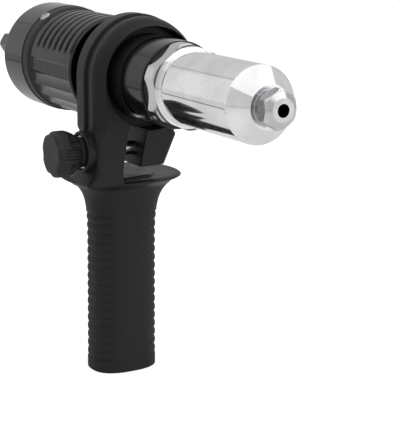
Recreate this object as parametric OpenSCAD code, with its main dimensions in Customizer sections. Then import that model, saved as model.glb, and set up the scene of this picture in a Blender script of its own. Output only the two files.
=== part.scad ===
// Rivet drill adapter: a pulling head driven by a drill, held by a side handle.
// The nose points along +X and the handle hangs along -Z, with its grip resting on Z = 0.
// Origin: middle of the grip's bottom face. Millimetres.

/* [Placement] */
// Height of the tool axis above the bottom of the grip
axis_height = 131.3; // [126:0.1:137]
// Sideways step of the tool axis from the middle of the grip
axis_side = 5.5; // [4.5:0.1:6.5]
// Distance of the clamp ring's rear face ahead of the middle of the grip
ring_ahead = 2.5; // [1:0.1:4]

/* [Rear collar] */
// Rise of the rear collar above the plain band
collar_rise = 0.4; // [0.2:0.1:1.2]
// Length of the rear collar
collar_len = 22.5; // [19:0.5:24]
// Thickness of the collar's rear wall
collar_wall = 4.5; // [3.5:0.1:5.5]
// Radius of the rounded rear edge of the collar
collar_round = 2.4; // [1:0.1:3]

/* [Main housing] */
// Rise of the plain band above the grooved body
band_rise = 1; // [0.5:0.1:1.2]
// Length of the plain band
body_band_len = 6; // [5.5:0.5:10]
// Outer radius of the grooved body
body_r = 23.2; // [22.8:0.1:26]
// Length of the body, with its band
body_len = 49; // [47:0.5:54]
// Length of the bevel at the body's front edge
bevel_len = 1.5; // [1:0.1:4]
// Drop of the black neck below the grooved body
neck_drop = 0.6; // [0.2:0.1:0.8]
// Length of the black neck
neck_len = 14.5; // [12:0.5:18]
// Radius of the seat that the clamp ring grips
seat_r = 21.6; // [21:0.05:22]
// Length of the clamp seat
seat_len = 11.5; // [9:0.5:13]
// Radius of the shoulder ahead of the clamp ring
shoulder_r = 18.2; // [17.5:0.1:19]
// Length of that shoulder
shoulder_len = 12; // [9:0.5:16]
// Radius of the front spigot that carries the nose
spigot_r = 13.4; // [13:0.1:14]
// Length of the spigot that enters the nose
spigot_grip = 7.5; // [6:0.5:8]
// Radius of the rear spigot that enters the collar
rear_spigot_r = 19; // [18.5:0.1:20]
// Radius of the chamber in which the pull nut slides
chamber_r = 17; // [16.5:0.1:17.5]
// Thickness of the web that takes the thrust
web_len = 7; // [5:0.5:8]
// Number of grooves round the top of the body
groove_count = 7; // [4:1:7]
// Distance from groove to groove
groove_pitch = 5.75; // [5:0.05:5.9]
// Width of a groove
groove_w = 2.6; // [1.5:0.1:3]
// Depth of a groove
groove_depth = 1; // [0.5:0.1:1.3]
// Angle above the horizontal at which the grooves end
groove_from = 19; // [14:1:35]
// Number of flutes under the body
flute_count = 9; // [3:2:9]
// Angle from flute to flute
flute_step = 17.4; // [12:0.2:17.6]
// Radius of the cutter of a flute
flute_r = 1.4; // [1.2:0.1:1.8]
// Depth of a flute
flute_depth = 1; // [0.5:0.1:1.1]
// Half the width of the flat on each side of the body
side_flat = 3.1; // [2:0.1:3.5]
// Distance of the front groove behind the bevel
groove_back = 2.4; // [2:0.1:3]
// Distance of the lock screw ahead of the collar
lock_ahead = 3; // [2.8:0.1:4]
// Angle of the lock screw above the horizontal
lock_rise = 56; // [50:1:75]
// Radius of the lock screw's head
lock_head_r = 2.6; // [2:0.1:2.8]
// Height of the lock screw's head
lock_head_len = 1; // [0.6:0.1:1.2]
// Radius of the lock screw's stem
lock_stem_r = 1.6; // [1.2:0.1:1.8]

/* [Nose] */
// Radius of the gloss black sleeve
sleeve_r = 18; // [17:0.1:18.5]
// Length of the gloss black sleeve
sleeve_len = 17.4; // [16:0.1:18.5]
// Radius of the sealing washer
seal_r = 17.6; // [17:0.1:18.4]
// Thickness of the sealing washer
seal_len = 1.6; // [1:0.1:2]
// Width across flats of the chrome hexagon
hex_across = 31.2; // [30.8:0.1:33]
// Radius to which the corners of the chrome hexagon are turned off
hex_corner_r = 16.8; // [16.2:0.1:17.6]
// Turn of the chrome hexagon about the tool axis
hex_turn = 10; // [0:1:59]
// Length of the chrome hexagon
hex_len = 8; // [7.5:0.1:10]
// Radius of the polished ring ahead of the hexagon
polish_r = 15.6; // [15.4:0.1:15.6]
// Length of the polished ring
polish_len = 1.5; // [1:0.1:3]
// Radius of the chrome barrel
barrel_r = 15; // [14.6:0.1:15.3]
// Length of the chrome barrel
barrel_len = 49.5; // [48:0.5:56]
// Length of the cone at the front of the barrel
cone_len = 6.5; // [5:0.1:8]
// Radius at the front of the cone
cone_r = 8.5; // [8:0.1:10]
// Radius of the chamber in which the jaw case slides
case_chamber_r = 12; // [11.8:0.1:12.4]
// Thickness of the nose's front wall, behind the cone
front_wall = 4.5; // [4:0.1:6]

/* [Nosepiece] */
// Width across flats of the nosepiece
tip_across = 13.5; // [12.5:0.1:14.5]
// Length of the round collar behind the nosepiece's hexagon
tip_collar_len = 2.2; // [1.5:0.1:3]
// Length of the nosepiece's hexagon
tip_hex_len = 4.6; // [4:0.1:6]
// Length of the domed end of the nosepiece
tip_dome_len = 2; // [1.5:0.1:2.6]
// Radius of the nosepiece's flat front
tip_face_r = 4.5; // [4:0.1:5]
// Radius of the hole for the rivet's mandrel
mandrel_r = 2.2; // [1.6:0.1:2.5]
// Radius of the nosepiece's threaded stem
stem_r = 5.5; // [5:0.1:6]

/* [Drive] */
// Width across flats of the drive shank
shank_across = 10; // [9:0.1:11]
// Length of the shank behind the collar
shank_len = 53; // [45:1:60]
// Radius of the spindle's journal
journal_r = 8; // [7.6:0.1:8.4]
// Wall of the rear bush
bush_wall = 2.5; // [2:0.1:3]
// Length of the rear bush
bush_len = 5; // [4:0.1:5.5]
// Radius of the spindle's thrust flange
flange_r = 12; // [11.5:0.1:13]
// Thickness of the spindle's thrust flange
flange_len = 4; // [3:0.1:5]
// Radius of the lead screw
screw_r = 6; // [5.6:0.1:6.2]
// Radius of a thrust ball
ball_r = 2; // [1.6:0.1:2.2]
// Number of thrust balls
ball_count = 12; // [8:1:13]
// Radius of the circle of thrust balls
ball_circle = 10.4; // [10:0.1:10.8]
// Thickness of a thrust race
race_len = 2.5; // [2:0.1:3]
// Thickness of the retaining ring
clip_len = 1.2; // [0.9:0.1:1.3]
// Rise of the retaining ring above the journal
clip_rise = 1.8; // [1.2:0.1:2.2]
// Depth of the journal's groove for that ring
clip_sink = 0.8; // [0.5:0.1:1]
// Width of the opening in that ring
clip_mouth = 6; // [5:0.1:7]

/* [Pulling train] */
// Travel of the jaws and the pull nut
stroke = 18; // [12:0.5:19]
// Length of the pull nut
nut_len = 14; // [10:0.5:16]
// Width of a key on the pull nut
key_w = 5; // [4:0.1:6]
// Length of a key
key_len = 8; // [6:0.1:9]
// Depth that a key is sunk into the nut
key_sink = 3; // [2.4:0.1:3.6]
// Radial depth of the keyways
keyway_depth = 2; // [1.5:0.1:2.5]
// Outer radius of the pull tube
tube_r = 9; // [8.6:0.1:9.2]
// Wall of the bush that guides the pull tube
tube_bush_wall = 2; // [1.5:0.1:2.4]
// Length of the bush that guides the pull tube
tube_bush_len = 18; // [12:0.5:20]
// Outer radius of the jaw case
case_r = 11.5; // [11.2:0.05:11.6]
// Length of the jaw case
case_len = 26; // [25.5:0.5:27]
// Half angle of the jaw cone
jaw_angle = 15; // [14:0.5:15.5]
// Length of a jaw
jaw_len = 12; // [10:0.5:12.5]
// Radius of the hole between the closed jaws
jaw_hole_r = 1.1; // [0.8:0.1:1.3]
// Width of the slit between two jaws
jaw_slit = 0.8; // [0.6:0.1:1.2]
// Radius of the jaw spring's wire
wire_r = 0.6; // [0.45:0.05:0.7]
// Number of turns of the jaw spring
spring_turns = 8; // [5:1:9]

/* [Clamp ring] */
// Width of the clamp ring along the tool
ring_w = 15.5; // [14.5:0.1:17]
// Outer radius of the ring's rear band
band_r = 26.6; // [26:0.1:28]
// Width of the ring's rear band
band_w = 6.5; // [5.5:0.1:7]
// Outer radius of the ring's groove
ring_groove_r = 24.8; // [24.4:0.1:25.2]
// Width of the ring's groove
ring_groove_w = 2.6; // [2:0.1:3]
// Outer radius of the ring's front bead
bead_r = 25.6; // [25.2:0.1:26]
// Width of the mouth of the clamp at the ring
mouth_w = 8; // [7:0.1:8.6]
// Distance from the tool axis to the near face of the mouth, at its top
mouth_near = 8; // [7.6:0.1:8.6]
// Lean of both faces of the mouth from the upright
mouth_lean = 9.4; // [8:0.1:10]
// Distance of the free jaw's foot below the tool axis
foot_drop = 37.4; // [36.5:0.1:38.4]
// Width of the free jaw's foot
foot_w = 9.9; // [9:0.1:11]
// Distance from the tool axis to the free jaw's outer side
jaw_side = 11.8; // [11:0.1:12.6]

/* [Clamp screw] */
// Distance of the clamp bolt below the tool axis
bolt_drop = 30.4; // [29.6:0.1:31]
// Radius of the clamp bolt
bolt_r = 2.95; // [2.5:0.05:3.1]
// Width across flats of the bolt's head
head_across = 10; // [9:0.1:10.4]
// Thickness of the bolt's head
head_len = 4; // [3:0.1:4.4]
// Radius of the round boss under the knob
boss_r = 8.8; // [8.4:0.1:9.2]
// Height of that boss
boss_len = 3.8; // [3.2:0.1:4.4]
// Radius of the washer in the boss
washer_r = 6.9; // [6.4:0.1:7.2]
// Thickness of the washer
washer_len = 1.2; // [0.9:0.1:1.4]
// Outer radius of the knob
knob_r = 9.8; // [9.4:0.1:10.2]
// Length of the knob's lobed body
knob_len = 12.5; // [11:0.1:13]
// Number of lobes on the knob
knob_lobes = 5; // [4:1:6]
// Radius of the hollows between the knob's lobes
hollow_r = 4.4; // [4:0.1:5]
// Depth of those hollows
hollow_depth = 1.2; // [0.8:0.1:1.6]

/* [Handle] */
// Width of the grip, across the tool
grip_w = 29.8; // [28:0.1:32]
// Depth of the grip, along the tool
grip_d = 23.2; // [22:0.1:25]
// Width of the handle's flange, across the tool
guard_w = 53.5; // [50:0.5:55]
// Depth of the handle's flange, along the tool
guard_d = 39.4; // [38.6:0.2:41]
// Sideways step of the flange from the middle of the grip
guard_side = 0.7; // [0:0.1:1.2]
// Distance of the flange's top below the tool axis
guard_drop = 43; // [42:0.1:44]
// Thickness of the flange
guard_len = 4.4; // [3.6:0.1:5]
// Width of the handle's tongue inside the grip
tongue_w = 19; // [16:0.5:21]
// Depth of the handle's tongue inside the grip
tongue_d = 12; // [9:0.5:14]
// Number of ribs on each side of the grip
rib_count = 17; // [8:1:17]
// Distance from rib to rib
rib_pitch = 3.84; // [3.4:0.02:3.9]
// Width of the groove between two ribs
rib_gap = 1.2; // [0.8:0.1:1.6]
// Depth of the groove between two ribs
rib_depth = 0.6; // [0.3:0.1:0.9]
// Height of the first rib above the bottom of the grip
first_rib = 7.5; // [5:0.5:8]
// Width of the plain front and back between the two rows of ribs
rib_clear = 16; // [12:0.5:20]

/* [Hidden] */
$fn = 96;
// Small overlap that lets a cutter pass clear through a face
eps = 0.5;

// Bevel on the edges of turned pieces
edge_bevel = 0.5;

// Fits
run_gap = 0.06;
free_gap = 0.4;
seat_gap = 0.02;
// Free play along an axis between pieces that move past each other
end_gap = 0.3;

// Turn that keeps the seams of turned pieces clear of flutes and keyways
seam_turn = 43.5;

// Stations along the tool axis, counted from the collar's rear face
t_body = collar_len;
t_ribs = t_body + body_band_len;
t_bevel = t_body + body_len;
t_neck = t_bevel + bevel_len;
t_seat = t_neck + neck_len;
t_shoulder = t_seat + seat_len;
t_sleeve = t_shoulder + shoulder_len;
t_seal = t_sleeve + sleeve_len;
t_hex = t_seal + seal_len;
t_spigot_end = t_hex + spigot_grip;
t_polish = t_hex + hex_len;
t_barrel = t_polish + polish_len;
t_cone = t_barrel + barrel_len;
t_tip = t_cone + cone_len;
t_tip_hex = t_tip + tip_collar_len;
t_tip_dome = t_tip_hex + tip_hex_len;
t_tip_end = t_tip_dome + tip_dome_len;
t_front_wall = t_cone - front_wall;

// Radii of the body's steps
body_band_r = body_r + band_rise;
collar_r = body_band_r + collar_rise;
neck_r = body_r - neck_drop;

// Stations of the drive, behind the web
t_wall = collar_wall + bush_len;
t_rear_spigot = t_wall + 1;
t_flange = t_wall + end_gap;
t_race_rear = t_flange + flange_len;
ball_gap = 2 * ball_r - 1.1;
t_race_front = t_race_rear + race_len + ball_gap;
t_web = t_race_front + race_len;
t_chamber = t_web + web_len;
race_r = rear_spigot_r - 4.6;
pilot_r = screw_r + 1;
boss_in_r = journal_r + bush_wall + 2.5;

// Rear end of the journal, and the retaining ring behind the collar's wall
t_journal = -3.6;
t_clip = -end_gap - run_gap - clip_len - 0.8;

// Stations of the pulling train, at rest at the front of its travel
t_nut = t_chamber + stroke + 1.5;
t_nut_end = t_nut + nut_len;
t_key = t_nut + (nut_len - key_len) / 2;
t_tube = t_nut_end - nut_len * 3 / 7;
t_chamber_end = t_nut_end + 1.5;
t_screw_end = t_nut_end + 20;
t_tube_web = t_screw_end + stroke + 3;
t_case_end = t_front_wall - 2;
t_case = t_case_end - case_len;
t_jaw_end = t_case_end - 2;
t_jaw = t_jaw_end - jaw_len;
t_cone_start = t_jaw - 4;
case_mouth_r = 4.7;
case_bore_r = case_mouth_r + (t_case_end - t_cone_start) * tan(jaw_angle);
spring_len = 15.5;
pusher_gap = 0.3;
pusher_disc_len = 2;
pusher_stem_len = 7;
jaw_turns = [180, 300, 60];
t_pusher = t_jaw - pusher_gap - pusher_disc_len;
t_spring = t_pusher - spring_len;
t_tube_end = t_case + 4;
spring_seat_r = 6.3;
spring_mid_r = 4.6;
pusher_stem_r = 3.2;
tube_web_hole_r = 2.4;

// Place of the tool in the handle's frame
x_rear = ring_ahead - t_seat;
ring_bore_r = seat_r + run_gap;
lock_low = chamber_r + 2.4;
ring_front = ring_ahead + ring_w;
ring_mid = ring_ahead + ring_w / 2;
guard_top = axis_height - guard_drop;
guard_low = guard_top - guard_len;
tongue_z = 4;

// Layers of the flange and the flare
layer = 0.02;
layer_sides = 56;
inset_share = 0.72;

// Sizes of the clamp that follow from the ring
leg_side = bead_r + 0.1;
band_side_rise = 1;
groove_side_drop = 0.7;
bead_rounds = [[1.4, 0.5], [0.6, 1.4]];
mouth_top_drop = 12;
jaw_side_drop = 22;
foot_z = axis_height - foot_drop;
mouth_far = mouth_near - mouth_w;
foot_left = axis_side - mouth_far - (foot_drop - mouth_top_drop) * tan(mouth_lean);
leg_inside = mouth_near + (guard_drop + guard_len - mouth_top_drop) * tan(mouth_lean);
bolt_z = axis_height - bolt_drop;
boss_face = axis_side - leg_side - boss_len;
washer_seat = boss_face + 2.2;
head_end = axis_side + 8.6;
head_face = head_end - head_len;
washer_face = washer_seat - washer_len - end_gap;
knob_neck_face = washer_face - end_gap;
knob_back = boss_face - 0.7;
knob_face = knob_back - knob_len;
insert_r = 4.5;
insert_end = knob_face + 3.6;
bolt_end = knob_face + 4.2;
bolt_gap = 0.3;
bolt_spare = 2.4;

// A point of an ellipse, and a closed ellipse of straight sides
function ellipse_point(a, b, turn) = [a * cos(turn), b * sin(turn)];
function ellipse(a, b, n) = [for (i = [0 : n - 1]) ellipse_point(a, b, 360 * i / n)];

// Puts what is drawn along Z onto the tool axis, counted from the collar's rear face
module on_axis(t = 0) {
    translate([x_rear + t, axis_side, axis_height]) rotate([0, 90, 0]) children();
}

// A turned piece: its profile holds [radius, station] points
module turned(profile) {
    on_axis() rotate([0, 0, seam_turn]) rotate_extrude() polygon(profile);
}

// A plain tube on the tool axis
module tube(t, length, outer, inner) {
    on_axis(t) difference() {
        cylinder(r = outer, h = length);
        translate([0, 0, -eps]) cylinder(r = inner, h = length + 2 * eps);
    }
}

// Extrudes an outline of [across, up] points along the tool
module along_x(x, length) {
    translate([x, 0, 0]) rotate([90, 0, 90]) linear_extrude(length) children();
}

// Puts what is drawn along Z onto the clamp bolt's axis, pointing away from the knob
module on_bolt(y) {
    translate([ring_mid, y, bolt_z]) rotate([-90, 0, 0]) children();
}

// The oval of the grip, as arcs
module grip_oval(inset = 0) {
    half_d = grip_d / 2 - inset;
    half_w = grip_w / 2 - inset;
    reach = half_w * 1.14;
    big_r = (reach * reach + half_d * half_d) / (2 * half_d);
    intersection() {
        translate([big_r - half_d, 0]) circle(r = big_r);
        translate([half_d - big_r, 0]) circle(r = big_r);
        circle(r = half_w);
    }
}

module rear_collar() {
    round_points = [for (a = [0 : 15 : 90])
        [collar_r - collar_round + collar_round * sin(a), collar_round - collar_round * cos(a)]];
    color("#1c1c1e") {
        turned(concat(
            [[journal_r + bush_wall + seat_gap, 0]], round_points,
            [[collar_r, collar_len], [rear_spigot_r + seat_gap, collar_len],
             [rear_spigot_r + seat_gap, collar_wall], [boss_in_r, collar_wall], [boss_in_r, t_wall],
             [journal_r + bush_wall + seat_gap, t_wall]]));
    }
}

module keyway_cutters(extra, t0, t1) {
    for (side = [0, 180])
        on_axis(t0) rotate([0, 0, side])
            translate([chamber_r - key_sink, -(key_w / 2 + extra), 0])
                cube([key_sink + keyway_depth + extra, key_w + 2 * extra, t1 - t0]);
}

module body_grooves() {
    t_first = t_bevel - groove_back - (groove_count - 1) * groove_pitch;
    for (i = [0 : groove_count - 1])
        on_axis(t_first + i * groove_pitch) rotate([0, 0, 90 + groove_from])
            rotate_extrude(angle = 180 - 2 * groove_from)
                polygon([
                    [body_r - groove_depth, -groove_w / 4], [body_r - groove_depth, groove_w / 4],
                    [body_r + eps, groove_w / 2 + eps / 2], [body_r + eps, -groove_w / 2 - eps / 2]]);
}

module body_flutes() {
    for (i = [0 : flute_count - 1])
        on_axis(t_ribs + 1.5)
            rotate([0, 0, (i - (flute_count - 1) / 2) * flute_step])
                translate([body_r - flute_depth + flute_r, 0, 0])
                    cylinder(r = flute_r, h = t_bevel - 1.4 - t_ribs - 1.5, $fn = 32);
}

module body_side_flats() {
    flat_r = sqrt(body_r * body_r - side_flat * side_flat);
    for (side = [-1, 1])
        on_axis(t_ribs + 1.5) rotate([0, 0, side * 89.2])
            translate([flat_r, -side_flat - 0.6, 0])
                cube([2, 2 * side_flat + 1.2, t_bevel - 1 - t_ribs - 1.5]);
}

module main_housing() {
    color("#242426") difference() {
        turned([
            [race_r + seat_gap, t_rear_spigot], [rear_spigot_r, t_rear_spigot],
            [rear_spigot_r, t_body], [body_band_r, t_body], [body_band_r, t_ribs - 1.2],
            [body_band_r - 0.4, t_ribs - 0.6], [body_r, t_ribs], [body_r, t_bevel], [neck_r, t_neck],
            [neck_r, t_seat - end_gap], [seat_r, t_seat - end_gap], [seat_r, t_shoulder],
            [shoulder_r, t_shoulder], [shoulder_r, t_sleeve], [spigot_r, t_sleeve],
            [spigot_r, t_spigot_end], [tube_r + tube_bush_wall + seat_gap, t_spigot_end],
            [tube_r + tube_bush_wall + seat_gap, t_spigot_end - tube_bush_len],
            [tube_r + free_gap, t_spigot_end - tube_bush_len],
            [tube_r + free_gap, t_chamber_end], [chamber_r, t_chamber_end],
            [chamber_r, t_chamber], [screw_r + 1, t_chamber], [screw_r + 1, t_web],
            [race_r + seat_gap, t_web]]);
        keyway_cutters(0, t_chamber, t_chamber_end);
        body_grooves();
        body_flutes();
        body_side_flats();
        lock_hole();
    }
}

// The lock screw stands in the plain band behind the grooves, on the knob's side
module at_lock_screw() {
    on_axis(t_body + lock_ahead) rotate([0, 0, 270 - lock_rise]) rotate([0, 90, 0]) children();
}

module lock_hole() {
    at_lock_screw() translate([0, 0, lock_low])
        cylinder(r = lock_stem_r + seat_gap, h = collar_r - lock_low, $fn = 32);
}

module lock_screw() {
    color("#38383a") at_lock_screw() {
        translate([0, 0, lock_low]) cylinder(r = lock_stem_r, h = body_band_r - lock_low + 0.1, $fn = 32);
        translate([0, 0, body_band_r + 0.05]) rotate_extrude($fn = 32)
            polygon([
                [0, 0], [lock_head_r, 0], [lock_head_r * 0.86, lock_head_len * 0.55],
                [lock_head_r * 0.5, lock_head_len * 0.9], [0, lock_head_len]]);
    }
}

module front_sleeve() {
    color("#101012") turned([
        [spigot_r + seat_gap, t_sleeve], [sleeve_r - edge_bevel, t_sleeve],
        [sleeve_r, t_sleeve + edge_bevel], [sleeve_r, t_seal - edge_bevel],
        [sleeve_r - edge_bevel, t_seal], [spigot_r + seat_gap, t_seal]]);
}

module sealing_washer() {
    color("#171717") tube(t_seal, seal_len, seal_r, spigot_r + seat_gap);
}

module nose_housing() {
    color("#c9ccd0") difference() {
        union() {
            // The hexagon, with its corners turned off and bevelled at both ends
            intersection() {
                on_axis(t_hex) rotate([0, 0, hex_turn])
                    cylinder(r = hex_across / 2 / cos(30), h = hex_len, $fn = 6);
                turned([
                    [0, t_hex], [hex_corner_r - edge_bevel, t_hex],
                    [hex_corner_r, t_hex + edge_bevel], [hex_corner_r, t_polish - edge_bevel],
                    [hex_corner_r - edge_bevel, t_polish], [0, t_polish]]);
            }
            turned([
                [0, t_polish - eps], [polish_r, t_polish - eps], [polish_r, t_barrel - edge_bevel],
                [polish_r - edge_bevel, t_barrel], [barrel_r, t_barrel], [barrel_r, t_cone - edge_bevel],
                [barrel_r - edge_bevel / 2, t_cone], [cone_r, t_tip], [0, t_tip]]);
        }
        on_axis(t_hex - eps) cylinder(r = spigot_r + seat_gap, h = t_spigot_end - t_hex + eps);
        on_axis(t_spigot_end - eps) cylinder(r = case_chamber_r, h = t_front_wall - t_spigot_end + eps);
        on_axis(t_front_wall - eps) cylinder(r = stem_r + seat_gap, h = t_tip - t_front_wall + 2 * eps);
    }
}

module nosepiece() {
    tip_r = tip_across / 2 / cos(30);
    color("#a9adb1") difference() {
        union() {
            turned([
                [0, t_front_wall + 0.3], [mandrel_r + 0.9, t_front_wall + 0.3],
                [stem_r, t_front_wall + 2.4], [stem_r, t_tip], [tip_across / 2 + 0.1, t_tip],
                [tip_across / 2 + 0.1, t_tip_hex + 0.5], [0, t_tip_hex + 0.5]]);
            intersection() {
                on_axis(t_tip_hex) cylinder(r = tip_r, h = tip_hex_len + tip_dome_len, $fn = 6);
                turned([
                    [0, t_tip_hex], [tip_r - 0.6, t_tip_hex], [tip_r + 0.1, t_tip_hex + 0.9],
                    [tip_r + 0.1, t_tip_dome - 0.9], [tip_across / 2 - 0.1, t_tip_dome],
                    [tip_face_r + 0.3, t_tip_end - 0.3], [tip_face_r, t_tip_end], [0, t_tip_end]]);
            }
        }
        on_axis(t_front_wall - eps) cylinder(r = mandrel_r, h = t_tip_end - t_front_wall + 2 * eps);
    }
}

module tube_bush() {
    color("#b08d57") tube(t_spigot_end - tube_bush_len, tube_bush_len,
        tube_r + tube_bush_wall, tube_r + run_gap);
}

module rear_bush() {
    color("#b08d57") tube(0.6, t_wall - 0.6, journal_r + bush_wall, journal_r + run_gap);
}

// A thrust race: a flat ring with a track for the balls on one face
module race(t, inner, outer, track_front) {
    track_t = track_front ? t + race_len + ball_gap / 2 : t - ball_gap / 2;
    difference() {
        tube(t, race_len, outer, inner);
        on_axis(track_t) rotate_extrude() translate([ball_circle, 0]) circle(r = ball_r + run_gap, $fn = 32);
    }
}

module thrust_race_front() {
    color("#b9bcc0") race(t_race_front, pilot_r + 0.6, race_r, false);
}

module thrust_race_rear() {
    color("#b9bcc0") race(t_race_rear, pilot_r + seat_gap, race_r - 0.4, true);
}

module ball_cage() {
    color("#b08d57") difference() {
        tube(t_race_rear + race_len + ball_gap / 2 - 0.6, 1.2, ball_circle + ball_r + 0.9, pilot_r + 0.4);
        for (i = [0 : ball_count - 1])
            on_axis(t_race_rear + race_len) rotate([0, 0, 360 * i / ball_count])
                translate([ball_circle, 0, 0]) cylinder(r = ball_r + 0.02, h = ball_gap, $fn = 32);
    }
}

module thrust_balls() {
    color("#dfe1e4") for (i = [0 : ball_count - 1])
        on_axis(t_race_rear + race_len + ball_gap / 2) rotate([0, 0, 360 * i / ball_count])
            translate([ball_circle, 0, 0]) sphere(r = ball_r, $fn = 32);
}

module drive_spindle() {
    color("#3b3d40") difference() {
        union() {
            intersection() {
                on_axis(-shank_len) rotate([0, 0, 30])
                    cylinder(r = shank_across / 2 / cos(30), h = shank_len, $fn = 6);
                turned([
                    [0, -shank_len], [shank_across / 2 - 1, -shank_len],
                    [shank_across / 2 + 1, -shank_len + 1.6], [shank_across / 2 + 1, 0], [0, 0]]);
            }
            turned([
                [0, t_journal], [journal_r - 0.6, t_journal], [journal_r, t_journal + 0.6],
                [journal_r, t_flange],
                [flange_r, t_flange], [flange_r, t_race_rear], [pilot_r, t_race_rear],
                [pilot_r, t_race_rear + race_len + 0.6], [screw_r, t_race_rear + race_len + 1.4],
                [screw_r, t_screw_end - 1], [screw_r - 1, t_screw_end], [0, t_screw_end]]);
        }
        tube(t_clip - run_gap, clip_len + 2 * run_gap, journal_r + eps, journal_r - clip_sink);
    }
}

module retaining_ring() {
    color("#6a6c70") difference() {
        tube(t_clip, clip_len, journal_r + clip_rise, journal_r - clip_sink + seat_gap);
        on_axis(t_clip - eps) translate([0, -clip_mouth / 2, 0])
            cube([journal_r + 2 * clip_rise, clip_mouth, clip_len + 2 * eps]);
    }
}

module pull_nut() {
    color("#b58a4a") difference() {
        tube(t_nut, nut_len, chamber_r - run_gap, screw_r + run_gap);
        for (side = [0, 180])
            on_axis(t_key) rotate([0, 0, side])
                translate([chamber_r - key_sink, -key_w / 2 - seat_gap, 0])
                    cube([key_sink + eps, key_w + 2 * seat_gap, key_len]);
        on_axis(t_tube) cylinder(r = tube_r + seat_gap, h = t_nut_end - t_tube + eps);
    }
}

module nut_keys() {
    color("#8a8d91") for (side = [0, 180])
        on_axis(t_key) rotate([0, 0, side])
            translate([chamber_r - key_sink, -key_w / 2 + run_gap, 0])
                cube([key_sink + keyway_depth - 2 * run_gap, key_w - 2 * run_gap, key_len]);
}

module pull_tube() {
    color("#8f9296") turned([
        [screw_r + free_gap, t_tube], [tube_r, t_tube], [tube_r, t_case - 1],
        [tube_r - 1, t_case], [tube_r - 1, t_tube_end], [spring_seat_r, t_tube_end],
        [spring_seat_r, t_spring], [tube_web_hole_r, t_spring], [tube_web_hole_r, t_tube_web],
        [screw_r + free_gap, t_tube_web - 2]]);
}

module jaw_case() {
    color("#7d8085") turned([
        [tube_r - 1 + seat_gap, t_case], [case_r, t_case], [case_r, t_case_end - 2],
        [case_r - 2, t_case_end], [case_mouth_r, t_case_end],
        [case_bore_r, t_cone_start], [case_bore_r, t_tube_end], [tube_r - 1 + seat_gap, t_tube_end]]);
}

// The jaw spring: one round wire wound on a helix
module jaw_spring() {
    per_turn = 14;
    sides = 6;
    rings = spring_turns * per_turn;
    rise = spring_len - 2 * wire_r;
    function wire_point(i, k) =
        let (turn = 360 * i / per_turn, around = 360 * k / sides,
             r = spring_mid_r + wire_r * cos(around))
        [r * cos(turn), r * sin(turn), wire_r + rise * i / rings + wire_r * sin(around)];
    points = [for (i = [0 : rings]) for (k = [0 : sides - 1]) wire_point(i, k)];
    walls = [for (i = [0 : rings - 1]) for (k = [0 : sides - 1])
        [i * sides + k, (i + 1) * sides + k, (i + 1) * sides + (k + 1) % sides, i * sides + (k + 1) % sides]];
    caps = [[for (k = [0 : sides - 1]) k],
            [for (k = [0 : sides - 1]) rings * sides + sides - 1 - k]];
    color("#9a9da1") on_axis(t_spring) polyhedron(points, concat(walls, caps));
}

// One of three jaws: a third of a cone with a toothed hole
module jaw(turn) {
    rear_r = case_mouth_r - run_gap + (t_case_end - t_jaw) * tan(jaw_angle);
    front_r = case_mouth_r - run_gap + (t_case_end - t_jaw_end) * tan(jaw_angle);
    far = 2 * rear_r;
    on_axis() rotate([0, 0, turn]) intersection() {
        rotate_extrude() polygon([
            [jaw_hole_r, t_jaw], [rear_r, t_jaw], [front_r, t_jaw_end], [jaw_hole_r, t_jaw_end]]);
        translate([jaw_slit / 2 / sin(60), 0, t_jaw - 1]) linear_extrude(jaw_len + 2)
            polygon([[0, 0], [far * cos(60), far * sin(60)], [2 * far, 0], [far * cos(60), -far * sin(60)]]);
    }
}

module jaw_a() {
    color("#6f7276") jaw(jaw_turns[0]);
}

module jaw_b() {
    color("#6f7276") jaw(jaw_turns[1]);
}

module jaw_c() {
    color("#6f7276") jaw(jaw_turns[2]);
}

module jaw_pusher() {
    disc_r = case_bore_r - free_gap - 0.6;
    color("#c0a060") difference() {
        turned([
            [0, t_pusher - pusher_stem_len], [pusher_stem_r, t_pusher - pusher_stem_len],
            [pusher_stem_r, t_pusher], [disc_r, t_pusher],
            [disc_r, t_pusher + pusher_disc_len], [0, t_pusher + pusher_disc_len]]);
        on_axis(t_pusher - pusher_stem_len - eps)
            cylinder(r = jaw_hole_r + 0.6, h = pusher_stem_len + pusher_disc_len + 2 * eps);
    }
}

// The clamp seen along the tool: ring, fixed leg and free jaw, drawn in [across, up]
module clamp_outline(ring_r, side) {
    // Depth to which leg and jaw reach into the ring's wall
    root = 10;
    difference() {
        union() {
            translate([axis_side, axis_height]) circle(r = ring_r);
            polygon([
                [axis_side - side, guard_low + 1], [axis_side - side, axis_height],
                [axis_side - 2, axis_height], [axis_side - 2, guard_low + 1]]);
            polygon([
                [axis_side - root / 2, axis_height - root], [axis_side - root / 2, foot_z],
                [foot_left + foot_w, foot_z], [axis_side + jaw_side, axis_height - jaw_side_drop],
                [axis_side + jaw_side, axis_height - root]]);
        }
        translate([axis_side, axis_height]) circle(r = ring_bore_r);
        mouth_outline();
    }
}

// The mouth between the fixed leg and the free jaw, down to the flange
module mouth_outline() {
    top = axis_height - mouth_top_drop;
    foot_right = foot_left + foot_w + ring_bore_r;
    polygon([
        [axis_side - mouth_near, top], [axis_side - mouth_far, top], [foot_left, foot_z],
        [foot_right, foot_z], [foot_right, guard_low],
        [axis_side - leg_inside, guard_low]]);
}

// The flange, its rim rounded in steps
module guard_plate() {
    // Each step: its height as a share of the flange's, and how far its rim stands in
    steps = [[0, 5], [0.25, 2.4], [0.5, 0.5], [0.7, 0], [0.85, 0.4], [1, 1.6]];
    hull() for (step = steps)
        flange_layer(guard_low + guard_len * step[0], step[1]);
}

// A thin oval layer of the flange or the flare under it, its rim standing in by the given width
module flange_layer(z, inset) {
    translate([0, guard_side, z]) linear_extrude(layer)
        polygon(ellipse(guard_d / 2 - inset * inset_share, guard_w / 2 - inset, layer_sides));
}

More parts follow.
